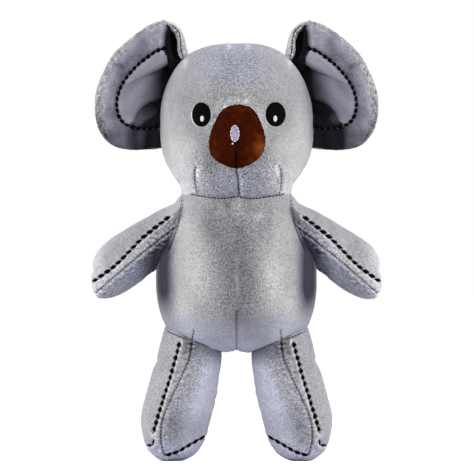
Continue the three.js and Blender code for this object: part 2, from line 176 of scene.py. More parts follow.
def unit(vectors):
    return vectors / np.maximum(np.linalg.norm(vectors, axis=-1, keepdims=True), 1e-9)


# Skins: grids of rings, from one end of a stuffed form to the other


def loft(rows, rings, sides, fullness=2.2):
    """Rings between two lines of the front view. A row is the outer (across, up), the inner
    (across, up), and the reach to front and back. A ring starts outside and runs by the front."""
    run = through(rows, rings)
    angle = 2 * np.pi * np.arange(sides) / sides
    over, along = (np.sign(v) * np.abs(v) ** (2 / fullness) for v in (np.cos(angle), np.sin(angle)))
    middle = (run[:, 0:2] + run[:, 2:4]) / 2
    reach = (run[:, 0:2] - run[:, 2:4]) / 2
    flat = middle[:, None] + reach[:, None] * over[None, :, None]
    depth = np.where(along > 0, run[:, 4:5], run[:, 5:6]) * along
    return np.stack([flat[..., 0], -depth, flat[..., 1]], axis=-1)


def levels(rows):
    """Rows for loft of an even form: its half width, its height, and its reach to front and back."""
    return [(half, up, -half, up, front, back) for half, up, front, back in rows]


def is_point(ring):
    return np.ptp(ring, axis=0).max() < 1e-6


def grid_normals(grid):
    """Unit normals of a grid of rings."""
    normal = np.cross(np.roll(grid, -1, 1) - np.roll(grid, 1, 1), np.gradient(grid, axis=0))
    for end, next_ring in ((0, 1), (-1, -2)):
        if is_point(grid[end]):
            normal[end] = normal[next_ring].mean(axis=0)
    return unit(normal)


def outward(grid):
    """Unit normals of a closed grid, pointing out of the form."""
    normal = grid_normals(grid)
    if np.sum(normal * (grid - grid.mean(axis=1, keepdims=True))) < 0:
        normal = -normal
    return normal


def grid_faces(grid):
    """Faces of a closed grid of rings, facing outward. A ring that is one point is one vertex."""
    rings, sides = grid.shape[:2]
    index = np.arange(rings * sides).reshape(rings, sides)
    for end in (0, -1):
        if is_point(grid[end]):
            index[end] = index[end, 0]
    index = np.hstack([index, index[:, :1]])
    quads = np.stack([index[:-1, :-1], index[:-1, 1:], index[1:, 1:], index[1:, :-1]], axis=-1)
    quads = quads.reshape(-1, 4)
    a, b, c, d = (grid.reshape(-1, 3)[quads[:, k]] - grid.mean(axis=(0, 1)) for k in range(4))
    volume = np.sum(np.cross(a, b) * c) + np.sum(np.cross(a, c) * d)
    if volume < 0:
        quads = quads[:, ::-1]
    return [list(dict.fromkeys(quad)) for quad in quads.tolist()]


def new_mesh(name, points, faces, mirror=1):
    """A mesh of the points that the faces use, turned over where mirror is -1, and which they are."""
    used = np.unique(np.concatenate([np.array(face) for face in faces]))
    place = np.zeros(len(points), int)
    place[used] = np.arange(len(used))
    mesh = bpy.data.meshes.new(name)
    mesh.from_pydata(points[used].tolist(), [], [place[face][::mirror].tolist() for face in faces])
    mesh.update()
    return mesh, used


def new_object(name, data):
    thing = bpy.data.objects.new(name, data)
    bpy.context.scene.collection.objects.link(thing)
    return thing


def placed(points, mirror):
    """Points in the frame, in metres, on the other side of the middle plane where mirror is -1."""
    return np.array(points) * (mirror, 1, 1) * MM + MIDDLE


def make_piece(name, points, faces, material, shades=None, mirror=1):
    """A smooth mesh piece. shades are named shares for each point, which its material reads."""
    mesh, used = new_mesh(name, placed(points.reshape(-1, 3), mirror), faces, mirror)
    mesh.shade_smooth()
    for shade, values in (shades or {}).items():
        layer = mesh.attributes.new(shade, "FLOAT", "POINT")
        layer.data.foreach_set("value", values.ravel()[used].astype(np.float32))
    mesh.materials.append(material)
    piece = new_object(name, mesh)
    return piece


def tree_of(grid, faces):
    """A search tree of a finished skin, in millimetres."""
    return BVHTree.FromPolygons(grid.reshape(-1, 3).tolist(), faces)


def stuffed_piece(name, grid, material, shades, nodes, body):
    """A stuffed skin in the place of some solids, which rides one body. It returns its tree."""
    faces = grid_faces(grid)
    piece = make_piece(name, grid, faces, material, shades)
    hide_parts(*nodes)
    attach(piece, body)
    return tree_of(grid, faces)


FAR = 400  # mm, clear of the whole koala


def on_front(trees, across, up):
    """Where a line of sight from the front first meets one of some skins, and the normal there."""
    hits = [tree.ray_cast(Vector((across, -FAR, up)), Vector((0, 1, 0)))[:2] for tree in trees]
    hits = [hit for hit in hits if hit[0] is not None]
    if not hits:
        hits = [tree.find_nearest(Vector((across, 0, up)))[:2] for tree in trees]
    place, normal = min(hits, key=lambda hit: hit[0].y)
    if normal.y > 0:
        normal = -normal
    return np.array(place), np.array(normal)


# Cloth simulation: a skin that is held along its seams and pressed out from inside

CLOTH_SCALE = 10 * MM  # the simulated cloth is ten times as large as the koala, in metres
CLOTH_FRAMES = 20
FABRIC = {
    "quality": 6,
    "mass": 0.3,
    "tension_stiffness": 15,
    "compression_stiffness": 15,
    "shear_stiffness": 5,
    "bending_stiffness": 0.3,
    "use_pressure": True,
    "uniform_pressure_force": 3,
}


def swelling(grid, held, growth, cap):
    """How far each point of a coarse skin moves when its fabric is cut larger by growth, and
    is held where held says."""
    mesh, used = new_mesh("cloth", grid.reshape(-1, 3) * CLOTH_SCALE, grid_faces(grid))
    cloth = new_object("cloth", mesh)
    seam = cloth.vertex_groups.new(name="seam")
    seam.add(np.flatnonzero(held.ravel()[used]).tolist(), 1.0, "REPLACE")
    modifier = cloth.modifiers.new("cloth", "CLOTH")
    fabric = modifier.settings
    for name, value in FABRIC.items():
        setattr(fabric, name, value)
    fabric.vertex_group_mass = "seam"
    fabric.shrink_min = -growth
    fabric.effector_weights.gravity = 0
    modifier.point_cache.frame_end = CLOTH_FRAMES
    for step in range(1, CLOTH_FRAMES + 1):
        bpy.context.scene.frame_set(step)
    result = cloth.evaluated_get(bpy.context.evaluated_depsgraph_get()).data
    moved = np.zeros(len(used) * 3)
    result.vertices.foreach_get("co", moved)
    move = np.zeros((grid.shape[0] * grid.shape[1], 3))
    move[used] = moved.reshape(-1, 3) / CLOTH_SCALE - grid.reshape(-1, 3)[used]
    move *= np.minimum(1, cap / np.maximum(np.linalg.norm(move, axis=1, keepdims=True), 1e-9))
    move = move.reshape(grid.shape)
    for end in (0, -1):
        if is_point(grid[end]):
            move[end] = move[end, 0]
    bpy.data.objects.remove(cloth)
    bpy.data.meshes.remove(mesh)
    bpy.context.scene.frame_set(1)
    return move


def stuffed(form, rings, sides, held, growth=0.015, cap=1.5):
    """A skin of form(rings, sides), swelled between the seams where held(x, y, z) is true. The
    middle of its panels stands out as far as its seams draw in, so its size stays."""
    coarse = form(round(rings / 4), round(sides / 3))
    move = swelling(coarse, held(*np.moveaxis(coarse, -1, 0)), growth, cap)
    out = np.sum(move * outward(coarse), axis=-1).mean()
    grid = form(rings, sides)
    return grid + regridded(move, rings, sides) - outward(grid) * out


# Materials


def feed(node, inputs):
    """Sets a node's inputs, each to a number, to a colour or to the socket that feeds it."""
    for key, value in inputs.items():
        socket = node.inputs[key]
        if isinstance(value, bpy.types.NodeSocket):
            node.id_data.links.new(value, socket)
        else:
            socket.default_value = (*value, 1) if socket.type == "RGBA" else value


def new_node(tree, kind, inputs, **settings):
    node = tree.nodes.new("ShaderNode" + kind)
    for name, value in settings.items():
        setattr(node, name, value)
    feed(node, inputs)
    return node


def new_material(name):
    material = bpy.data.materials.new(name)
    material.use_nodes = True
    return material, material.node_tree, material.node_tree.nodes["Principled BSDF"]


def noise_at(tree, scale, detail, rough=0.5, stretch=(1, 1, 1)):
    """A noise over the piece's own coordinates. scale is in waves a metre."""
    place = new_node(tree, "TexCoord", {}).outputs["Object"]
    sized = new_node(tree, "Mapping", {"Vector": place, "Scale": stretch}).outputs["Vector"]
    waves = {"Vector": sized, "Scale": scale, "Detail": detail, "Roughness": rough}
    return new_node(tree, "TexNoise", waves).outputs["Fac"]


def ranged(tree, value, low, high, to_low, to_high, clamp=True):
    span = {"Value": value, "From Min": low, "From Max": high, "To Min": to_low, "To Max": to_high}
    return new_node(tree, "MapRange", span, clamp=clamp).outputs["Result"]


def mixed(tree, share, dark, light):
    """A colour between two, each a socket or red, green and blue."""
    mix = {"Factor": share, "A": dark, "B": light}
    return new_node(tree, "Mix", mix, data_type="RGBA").outputs["Result"]


def total(tree, first, second, operation="ADD"):
    """Two numbers added, or put together by another operation."""
    return new_node(tree, "Math", {0: first, 1: second}, operation=operation).outputs[0]


def shade_of(tree, name):
    return new_node(tree, "Attribute", {}, attribute_name=name).outputs["Fac"]


def bumped(tree, height, distance, strength, **below):
    bump = {"Height": height, "Distance": distance, "Strength": strength, **below}
    return new_node(tree, "Bump", bump).outputs["Normal"]


LAVENDER = (0.93, 0.935, 1.16)


def pile_fabric(name, deep, mid, pale, speckle, sheen, pile=1.0):
    """Short-pile fabric. Its tone follows the lie of the pile and the piece's own tone, which holds
    painted light and shade; it turns to lavender by the piece's cool share, and each tuft is a
    little lighter or darker than the next, more so by the piece's grain."""
    material, tree, shader = new_material(name)
    brushed = ranged(tree, noise_at(tree, 42, 3, stretch=(1, 1, 0.5)), 0.3, 0.7, -0.2, 0.2)
    tone = total(tree, shade_of(tree, "tone"), brushed)
    darker = mixed(tree, ranged(tree, tone, -1, 0, 0, 1), deep, mid)
    base = mixed(tree, ranged(tree, tone, 0, 1, 0, 1), darker, pale)
    tint = new_node(tree, "VectorMath", {0: base, 1: LAVENDER}, operation="MULTIPLY").outputs[0]
    base = mixed(tree, shade_of(tree, "cool"), base, tint)
    tufts = noise_at(tree, 1100, 2, 0.65)
    locks = noise_at(tree, 330, 2, 0.6)
    grain = ranged(tree, shade_of(tree, "grain"), -1, 1, 0, 2, clamp=False)
    fleck = total(tree, ranged(tree, tufts, 0.36, 0.64, -speckle, speckle), grain, "MULTIPLY")
    patch = ranged(tree, locks, 0.35, 0.65, 1 - speckle * 0.2, 1 + speckle * 0.2)
    flecked = {0: base, "Scale": total(tree, fleck, patch)}
    surface = {
        "Base Color": new_node(tree, "VectorMath", flecked, operation="SCALE").outputs[0],
        "Roughness": 0.95,
        "Specular IOR Level": sheen / 2,
        "Sheen Weight": sheen,
        "Sheen Roughness": 0.45,
        "Normal": bumped(tree, tufts, 0.0005, 0.6 * pile, Normal=bumped(tree, locks, 0.0009, 0.3 * pile)),
    }
    feed(shader, surface)
    return material


def thread(name, dark, light, rough=0.6, gloss=0.2):
    """Twisted or satin thread: fine strands, with painted highlights where they catch the light."""
    material, tree, shader = new_material(name)
    strands = noise_at(tree, 1500, 1)
    surface = {
        "Base Color": mixed(tree, ranged(tree, strands, 0.35, 0.7, 0, 1), dark, light),
        "Roughness": rough,
        "Specular IOR Level": gloss,
        "Normal": bumped(tree, strands, 0.0002, 0.5),
    }
    feed(shader, surface)
    return material


# Darkest, middle and palest colour of each fabric, between which its tone runs: painted shade takes it
# towards the first and painted light towards the last.
GREYS = (0.035, 0.034, 0.048), (0.36, 0.36, 0.37), (0.66, 0.66, 0.655)
LILACS = (0.012, 0.012, 0.017), (0.25, 0.246, 0.305), (0.46, 0.455, 0.54)
BROWNS = (0.012, 0.002, 0.0012), (0.05, 0.0075, 0.0022), (0.25, 0.062, 0.01)
plush = pile_fabric("grey_plush", *GREYS, speckle=0.25, sheen=0.16)
ear_lining = pile_fabric("ear_lining", *LILACS, speckle=0.08, sheen=0.04, pile=0.5)
nose_velvet = pile_fabric("nose_velvet", *BROWNS, speckle=0.35, sheen=0)
black_thread = thread("black_thread", (0.0015, 0.0015, 0.0015), (0.006, 0.005, 0.005), 0.8, 0.02)
brown_thread = thread("brown_thread", (0.17, 0.12, 0.12), (0.42, 0.33, 0.34), 0.7, 0.1)
white_thread = thread("white_thread", (0.72, 0.71, 0.74), (0.88, 0.87, 0.88))
lilac_thread = thread("lilac_thread", (0.3, 0.25, 0.38), (0.6, 0.55, 0.68))
seam_thread = thread("seam_thread", (0.02, 0.02, 0.028), (0.07, 0.066, 0.08), 0.8, 0.05)


# Threads laid on a skin


def tube(path, facing, radius, sides=8, flat=1.0):
    """A tube along a path, with closed ends. flat is its height for its width."""
    ahead = unit(np.gradient(path, axis=0))
    across = unit(np.cross(ahead, facing))
    out = np.cross(across, ahead) * flat
    angle = 2 * np.pi * np.arange(sides) / sides
    ring = across[:, None] * np.cos(angle)[None, :, None] + out[:, None] * np.sin(angle)[None, :, None]
    grid = path[:, None] + radius[:, None, None] * ring
    return np.concatenate([np.repeat(path[:1, None], sides, 1), grid, np.repeat(path[-1:, None], sides, 1)])


def sewn_piece(name, grids, material, mirror=1):
    """Some threads as one piece."""
    points, faces, count = [], [], 0
    for grid in grids:
        faces += [[corner + count for corner in face] for face in grid_faces(grid)]
        points.append(grid.reshape(-1, 3))
        count += len(points[-1])
    return make_piece(name, np.concatenate(points), faces, material, mirror=mirror)


def length_of(line):
    return np.linalg.norm(np.diff(through(line, 60), axis=0), axis=1).sum()


def laid(line, trees, steps):
    """Points and normals of a front-view line where it lies on the foremost of some skins."""
    hits = [on_front(trees, across, up) for across, up in through(line, steps)]
    facing = np.array([hit[1] for hit in hits])
    facing = np.array([facing[max(0, i - 3) : i + 4].mean(axis=0) for i in range(len(facing))])
    return np.array([hit[0] for hit in hits]), unit(facing)


def top_stitch(line, trees, pitch, wide, long, slant, blunt=0.6, seed=1):
    """Heavy decorative stitching: thick slanting beads of black thread, each drawn out thin to the
    next, on the brown thread that shows on both sides of the thin places."""
    stitches = max(1, round(length_of(line) / pitch))
    steps = 14
    path, facing = laid(line, trees, stitches * steps + 1)
    phase = np.arange(len(path)) / steps % 1
    swing = np.where(phase < long, phase / long, (1 - phase) / (1 - long)) * 2 - 1
    across = unit(np.cross(np.gradient(path, axis=0), facing))
    path = path + across * (slant * swing)[:, None]
    size = np.random.default_rng(seed).uniform(0.8, 1.15, stitches + 1)[np.arange(len(path)) // steps]
    bead = np.clip(1 - np.abs(2 * phase / long - 1), 0, 1) ** blunt
    radius = 0.2 + (wide * size - 0.2) * bead
    beads = tube(path + facing * (0.1 + radius * 0.2)[:, None], facing, radius, flat=0.6)
    links = tube(path, facing, 0.34 + 0.3 * (1 - bead), flat=0.5)
    return beads, links


def fine_stitch(line, trees, pitch=2.1, radius=0.28, gap=0.34, sink=0.06):
    """A row of small straight stitches in a seam."""
    stitches = max(2, round(length_of(line) / pitch))
    steps = 8
    path, facing = laid(line, trees, stitches * steps + 1)
    swell = np.sqrt(np.maximum(0, 1 - np.linspace(-1, 1, steps + 1) ** 4)) * radius + 0.02
    at = np.linspace(gap / 2, 1 - gap / 2, steps + 1) * steps
    low = np.clip(at.astype(int), 0, steps - 1)
    share = (at - low)[:, None]
    grids = []
    for k in range(stitches):
        run, out = (rows[k * steps : (k + 1) * steps + 1] for rows in (path, facing))
        points = run[low] * (1 - share) + run[low + 1] * share - out * sink
        grids.append(tube(points, out, swell, sides=6))
    return grids


# Body skin

BODY_ROWS = [  # half width, height, front and back reach
    (0, 68.8, 0, 0),
    (9.5, 68.9, 12, 9),
    (17, 71.2, 19.5, 16.5),
    (28, 75.4, 25.5, 25),
    (37, 80, 30, 30),
    (44.2, 85.6, 33.2, 33.5),
    (48.2, 95, 36.8, 36.5),
    (50.8, 108, 38.5, 38),
    (51.2, 121, 38.3, 37.5),
    (49.6, 135, 37, 35.5),
    (45.5, 148, 34.5, 33),
    (39.5, 160, 32, 31),
    (35.4, 169, 31, 30),
    (33, 173, 29, 28),
    (0, 176, 0, 0),
]
BODY_GRID = (176, 300)
SIDE_SEAM_Y = 3
BELLY_RIDGE = seen((236.5, 256), (236.5, 296))
BELLY_CREASE = seen((236.5, 310), (236.5, 352))
DARTS = (seen((194, 329.5), (191.8, 341)), seen((280, 329.5), (281.6, 341)))
SWIRLS = seen((221, 213), (257, 213))
ARMHOLE = seen((290.5, 193), (292, 205), (293.6, 215), (295.8, 227), (299.4, 238), (304, 250))
HIP = seen((306, 331), (293, 336.5), (281, 341), (268, 344.6), (258, 349), (252, 352))
SEAM_HOLD = 1.8


def body_held(x, y, z):
    seams = (np.abs(x), np.abs(y - SIDE_SEAM_Y), beside(np.abs(x), z, ARMHOLE)[0])
    return (np.min(seams, axis=0) < SEAM_HOLD) | (z > 166) | (z < 71)


def body_skin():
    def form(rings, sides):
        return loft(levels(BODY_ROWS), rings, sides, fullness=2.35)

    grid = stuffed(form, *BODY_GRID, body_held)
    normal = outward(grid)
    x, y, z = np.moveaxis(grid, -1, 0)
    aside = np.abs(x)
    front = ramp(-y, 0, 8)
    crease = beside(x, z, BELLY_CREASE)[0]
    ridge = beside(x, z, BELLY_RIDGE)[0]
    armhole = beside(aside, z, ARMHOLE)[0]
    lift = front * groove(crease, 0.7, 0.6, 0.3)
    lift += front * 0.4 * hump(ridge, 0, 1.0)
    lift -= front * 0.8 * hump(x, 0, 12) * ramp(z, 96, 112) * ramp(z, 158, 130)
    for dart in DARTS:
        lift += front * groove(beside(x, z, dart)[0], 1.0, 0.7, 0.4)
    lift += ramp(y, 0, 8) * groove(x, 0.9, 0.9, 0.3)
    lift += groove(y - SIDE_SEAM_Y, 0.6, 0.9, 0.25) * ramp(aside, 8, 14)
    lift += groove(armhole, 0.6, 0.8, 0.2)
    lift += 0.35 * lumps(grid, 16, 1) + 0.07 * lumps(grid, 1.8, 2)
    grid = grid + normal * lift[..., None]
    grid[..., 2] += 1.8 * hump(x, 0, 5) * ramp(z, 82, 70)

    # The body's tone, mostly painted light and shade: painted highlights in bands either side of the
    # belly's middle and low on the belly, and painted shade down the belly's middle and on the upper chest
    # either side of it.
    tone = 0.35 * hump(aside, 30, 7) + 0.6 * hump(aside, 22, 8) * hump(z, 119, 24)
    tone *= ramp(z, 74, 84) * ramp(z, 164, 144)
    tone += 0.5 * hump(aside, 27, 7) * hump(z, 80, 5) + 0.25 * ramp(z, 80, 74)
    tone += 0.3 * hump(aside, 34, 5) * hump(z, 97, 14)
    tone -= 0.38 * hump(x, 0, 14) * ramp(z, 84, 108) + 0.35 * hump(x, 0, 17) * hump(z, 94, 10)
    tone -= 0.25 * hump(aside, 19, 6) * hump(z, 150, 9)
    # Painted shadow of the arms on the flanks, dark and turning lavender.
    painted_arm_shadow = ramp(aside, 36, 46) * ramp(-y, 0, 18) * ramp(z, 84, 112)
    tone -= 1.25 * painted_arm_shadow * ramp(z, 152, 140)
    # A painted highlight down the middle of the upper chest, and the lower belly a little paler.
    tone += 0.4 * hump(x, 1, 5) * ramp(z, 148, 160) + 0.08 * hump(x, 0, 25) * ramp(z, 90, 80)
    for swirl in SWIRLS:
        off = np.hypot(x - swirl[0], (z - swirl[1]) / 1.7)
        tone += 0.3 * hump(off, 2.2, 1.6) * (1 + lumps(grid, 4, 26))
    # A painted highlight on the belly's ridge, and painted shade in its crease and in the armholes.
    tone += 0.3 * hump(ridge, 0, 0.8) - 0.3 * hump(crease, 0, 0.5) - 0.3 * hump(armhole, 0, 0.6)
    tone *= front
    cool = front * np.maximum(ramp(z, 104, 76), 0.8 * painted_arm_shadow)
    grain = 1.5 * front * hump(x, 0, 24) * ramp(z, 84, 104) - 0.3
    shades = {"tone": tone, "cool": cool, "grain": grain}
    panels = [f"body_{part}_panel_{side}" for part in ("front", "back") for side in SIDES]
    return stuffed_piece("body_skin", grid, plush, shades, [*panels, "body_stuffing"], "torso")


# Head skin

HEAD_ROWS = [
    (0, 163, 0, 0),
    (31, 165, 27, 26),
    (34.4, 168.8, 30.6, 29.6),
    (35.2, 172.8, 31.4, 30.6),
    (36.6, 177, 32.8, 32.2),
    (41.4, 184.6, 36.8, 37),
    (45.5, 192.6, 39.9, 40.4),
    (48.2, 204, 42.4, 42.9),
    (48.7, 216, 43, 43.5),
    (47.6, 229.5, 42.2, 43),
    (44.4, 240.5, 39.6, 40.4),
    (38.8, 251, 34.8, 35.4),
    (30.5, 260, 27.5, 28),
    (17.5, 265.6, 16, 16.5),
    (0, 267.2, 0, 0),
]
HEAD_GRID = (230, 360)
MOUTH_Z = seen((0, 197.5))[0][1]
MUZZLE_REACH = 7
MUZZLE_ROLL = 13
MUZZLE_MIDDLE, MUZZLE_HALF = 0.95, 27.5
CREASES = (
    seen((196.5, 166), (194.6, 172), (194.8, 181), (196.2, 189), (198.2, 195.5)),
    seen((278.5, 165), (281, 171), (281.4, 180), (280.6, 188), (279, 194.5)),
)
MOUTH = seen(
    (191, 194.4), (200, 196), (212, 197.8), (225, 198.6), (238.5, 197),
    (247, 198.4), (258, 198.4), (268, 197), (277, 195.6), (284, 194),
)
MUZZLE_SEAM = seen((236.2, 168), (237.6, 177), (238.6, 187), (239, 197))
NOSE_OUTLINE = seen(
    (238.4, 104.8), (223.3, 109.5), (214.3, 123), (209, 139), (211.5, 156.5), (222.5, 165),
    (236.3, 169.4), (249.8, 165.5), (262, 155.5), (265.6, 140), (261.2, 123), (252.5, 109),
)
CROWN_NOTCHES = seen((229, 47), (247.6, 47), (185.5, 63), (289.5, 62))


def muzzle(x, z):
    """How far the muzzle stands out of the face: puffed up to its creases, and soft above them."""
    soft = ramp(z, 178, 202)
    across = np.abs(x - MUZZLE_MIDDLE) / MUZZLE_HALF
    puffed = np.clip(1 - across**2.6, 0, 1) ** 0.55
    sides = puffed + soft * (hump(across, 0, 0.72) - puffed)
    brow = 1 - ramp(z, 190, 232)
    roll = np.sin(np.pi / 2 * np.clip((z - MOUTH_Z) / MUZZLE_ROLL, 0, 1))
    return MUZZLE_REACH * sides * brow * roll


def head_form(rings, sides):
    grid = loft(levels(HEAD_ROWS), rings, sides, fullness=2.25)
    x, y, z = np.moveaxis(grid, -1, 0)
    grid[..., 1] -= muzzle(x, z) * ramp(-y, 0, 10)
    return grid


def head_held(x, y, z):
    folds = np.min([beside(x, z, line)[0] for line in (*CREASES, MOUTH, MUZZLE_SEAM)], axis=0)
    nose = (y < 0) & (np.hypot(x, z - 208) < 20)
    back = (y > 0) & (np.abs(x) < SEAM_HOLD)
    sides = np.abs(y - SIDE_SEAM_Y) < SEAM_HOLD
    return ((y < 0) & (folds < SEAM_HOLD)) | nose | back | sides | (z < 170)


def head_skin():
    grid = stuffed(head_form, *HEAD_GRID, head_held, growth=0.01, cap=1)
    normal = outward(grid)
    x, y, z = np.moveaxis(grid, -1, 0)
    aside = np.abs(x)
    front = ramp(-y, 0, 10)
    lift = 0.3 * lumps(grid, 20, 3) + 0.07 * lumps(grid, 1.8, 4)
    # Painted highlights on the sides of the face, the cheeks and the top of the forehead, and painted shade
    # beside the lower nose.
    tone = 0.3 * hump(aside, 41, 9) * ramp(z, 236, 205)
    tone += 0.5 * hump(aside, 33, 9) * (ramp(z, 216, 196) + 0.7 * ramp(z, 194, 182))
    tone += 0.2 * hump(x, 0, 22) * ramp(z, 226, 240)
    tone -= 0.3 * hump(aside, 17, 8) * hump(z, 192, 8)
    # A painted highlight in a ring round the nose.
    around = beside(x, z, ringed(through(NOSE_OUTLINE, 120, closed=True)))[0]
    tone += 0.6 * hump(around, 0, 4.5) * ramp(z, 206, 220) * (1 + lumps(grid, 2.4, 25))
    # Each crease: a groove, painted shade along it, and a painted highlight on its inner side.
    for crease in CREASES:
        off = beside(x, z, crease)[0]
        fade = ramp(z, 191, 184)
        inner = aside < np.interp(z, crease[::-1, 1], np.abs(crease[::-1, 0]))
        lift += front * fade * groove(off, 1.1, 0.6, 0.45)
        tone -= 0.5 * fade * hump(off, 0, 0.5)
        tone += 1.4 * fade * hump(off, 1.9, 1) * inner * ramp(-y, 28, 34)
    middle, _, over = beside(x, z, MUZZLE_SEAM)
    lift += front * groove(middle, 1.1, 0.65, 0.5)
    # Painted shade in the muzzle's seam, and a painted highlight beside it.
    tone -= 0.6 * hump(middle, 0, 0.5)
    tone += 0.5 * hump(middle * over, 2, 0.9) * ramp(z, 189, 184)
    mouth = beside(x, z, MOUTH)[0]
    lift += front * groove(mouth, 0.8, 0.6)
    # Painted shade in the mouth's groove.
    tone -= 0.3 * hump(mouth, 0, 0.5)
    for notch in CROWN_NOTCHES:
        off = np.hypot(x - notch[0], (z - notch[1]) * 0.45)
        lift += 0.25 * front * hump(off, 0, 1.6)
        # A painted highlight at each crown notch.
        tone += 0.8 * hump(off, 0, 1.5) * ramp(-y, 8, 14)
    lift += ramp(y, 0, 8) * groove(x, 0.9, 0.9, 0.3)
    lift += groove(y - SIDE_SEAM_Y, 0.5, 0.9, 0.2) * ramp(z, 264, 258)
    grid = grid + normal * lift[..., None]
    cool = 0.8 * front * hump(x, 0, 26) * np.maximum(ramp(z, 232, 250), ramp(z, 196, 180))
    # Painted shade on the sides of the head beside the ears.
    painted_ear_shadow = ramp(y, -26, -6) * ramp(y, 26, 10) * ramp(z, 194, 212)
    painted_ear_shadow *= ramp(z, 254, 236)
    middle_of_face = 2 * ramp(aside, 30, 26) * ramp(z, 204, 192)
    grain = front * np.maximum(1.3 * hump(x, 0, 24), middle_of_face) - 0.4
    shades = {"tone": tone * front - 0.6 * painted_ear_shadow, "cool": cool, "grain": grain}
    nodes = ("head_face_panel", "head_back_panel_left", "head_back_panel_right", "head_stuffing")
    return stuffed_piece("head_skin", grid, plush, shades, nodes, "head")


body_tree = body_skin()
head_tree = head_skin()


# Face


def pad(outline, tree, height, rings, power, round_edge, sink, shape):
    """A pad over a skin inside a front-view outline. It stands height off the skin in the middle
    and tucks under it at the edge. shape(across, up, share) adds to its height."""
    middle = outline.mean(axis=0)
    shares = np.sin(np.linspace(0, np.pi / 2, rings))
    grid = np.zeros((rings, len(outline), 3))
    for i, share in enumerate(shares):
        flat = middle + share * (outline - middle)
        for k, (across, up) in enumerate(flat):
            place, _ = on_front([tree], across, up)
            out = height * (1 - share**power) ** round_edge - sink * share**8
            grid[i, k] = (across, place[1] - (out + shape(across, up, share)), up)
    grid[0] = grid[0].mean(axis=0)
    behind = grid[-1:].copy()
    behind[..., 1] += 1.2
    close = np.repeat(behind.mean(axis=1, keepdims=True), len(outline), axis=1)
    close[..., 1] = behind[..., 1].max()
    return np.concatenate([grid, behind, close])


def oval(middle, width, height, sides=40):
    angle = 2 * np.pi * np.arange(sides) / sides
    return np.stack([middle[0] + np.cos(angle) * width / 2, middle[1] + np.sin(angle) * height / 2], axis=1)


NOSE_PAD = 9.5
NOSE_HALF = 19
NOSE_DART = seen((236.2, 151), (236.3, 169))
# Painted highlights on the nose's velvet.
NOSE_PAINTED_HIGHLIGHTS = (  # across, up, width, height, strength
    (15, 201, 4.5, 7, 0.75),
    (-15.4, 203, 2.4, 9, 0.35),
    (1, 224.5, 9, 2.4, 0.25),
)
EYES = {  # middle, width and height of the eye, and the middle of its glint
    "right": (seen((201.4, 115.2))[0], 12.4, 15.9, seen((202.3, 119.2))[0]),
    "left": (seen((275.3, 114.9))[0], 13.2, 16, seen((275, 119.2))[0]),
}
NOSE_GLINT = seen((234.9, 134.2))[0]
NOSE_DOT = seen((232.6, 144.2))[0]


def add_nose():
    def dart(across, up, share):
        return -0.9 * hump(beside(np.array([across]), np.array([up]), NOSE_DART)[0][0], 0, 1.0) * share

    outline = through(NOSE_OUTLINE, 220, closed=True)
    tufts = lumps(np.insert(outline, 1, 0, axis=1), 1.1, 22)
    outline += 0.3 * tufts[:, None] * (outline - outline.mean(axis=0)) / NOSE_HALF
    grid = pad(outline, head_tree, NOSE_PAD, rings=40, power=2.2, round_edge=0.62, sink=1.2, shape=dart)
    x, _, z = np.moveaxis(grid, -1, 0)
    lift = 0.25 * lumps(grid, 9, 5) + 0.07 * lumps(grid, 1.6, 6)
    grid[1:-2, :, 1] -= lift[1:-2]
    tone = -0.22 + 0.2 * lumps(grid, 4, 24)
    # Painted highlights on the velvet.
    for across, up, width, height, strength in NOSE_PAINTED_HIGHLIGHTS:
        tone += strength * hump(np.hypot((x - across) / width, (z - up) / height), 0, 1)
    rim = np.linalg.norm(grid[..., [0, 2]] - grid[-3:-2][..., [0, 2]], axis=-1)
    # A painted highlight along the top of the rim, painted shade where the rim tucks under, paler low down,
    # and painted shade low in the middle and in the dart.
    tone += 0.2 * hump(rim, 2, 1.6) * ramp(z, 212, 224) * (0.7 + 0.5 * lumps(grid, 2, 23))
    tone -= hump(rim, 0, 0.9) * (0.4 + 0.5 * lumps(grid, 1.2, 21))
    tone += 0.25 * ramp(z, 208, 196) - 0.35 * hump(x, 0, 5) * ramp(z, 212, 198)
    tone -= 0.9 * hump(beside(x, z, NOSE_DART)[0], 0, 0.7)
    nodes = ("nose_panel", "nose_stuffing")
    return stuffed_piece("nose_pad", grid, nose_velvet, {"tone": tone}, nodes, "head")


def embroidered(name, outline, tree, height, material, node=None, spacing=1.0):
    """A patch of satin stitch, ridge beside ridge, on the head or the nose."""

    def ridges(across, up, share):
        return 0.12 * np.cos(2 * np.pi * (up + 0.25 * across) / spacing) * (1 - share**4)

    grid = pad(outline, tree, height, rings=10, power=6, round_edge=0.5, sink=0.25, shape=ridges)
    piece = make_piece(name, grid, grid_faces(grid), material)
    if node:
        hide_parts(node)
    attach(piece, "head")


def add_face():
    nose_tree = add_nose()
    for side, (middle, width, height, glint) in EYES.items():
        rim = oval(middle - (0.28, 0.2), width + 0.5, height + 0.4)
        embroidered(f"eye_rim_{side}", rim, head_tree, 0.45, white_thread)
        eye = oval(middle, width, height)
        embroidered(f"eye_{side}", eye, head_tree, 1.1, black_thread, f"eye_{side}")
        dot = oval(glint, 2.7, 4.3, sides=24)
        embroidered(f"eye_glint_{side}", dot, head_tree, 1.7, white_thread, f"eye_highlight_{side}", 0.7)
    glint = oval(NOSE_GLINT, 4.4, 9)
    embroidered("nose_glint", glint, nose_tree, 0.8, lilac_thread, "nose_highlight", 0.7)
    ring = fine_stitch(ringed(oval(NOSE_GLINT, 5, 9.8)), [nose_tree], 2.4, 0.4, 0.04, -0.3)
    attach(sewn_piece("nose_glint_rim", ring, white_thread), "head")
    embroidered("nose_dot", oval(NOSE_DOT, 1.2, 1.4, 16), nose_tree, 0.8, white_thread)

    grids = fine_stitch(MOUTH, [head_tree, body_tree], radius=0.44, gap=0.12, sink=0)
    grids += fine_stitch(MUZZLE_SEAM, [head_tree], radius=0.46, gap=0.1, sink=0)
    for crease in CREASES:
        grids += fine_stitch(crease, [head_tree])
    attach(sewn_piece("mouth_stitches", grids, seam_thread), "head")


add_face()


# Arms and legs, given on the koala's left

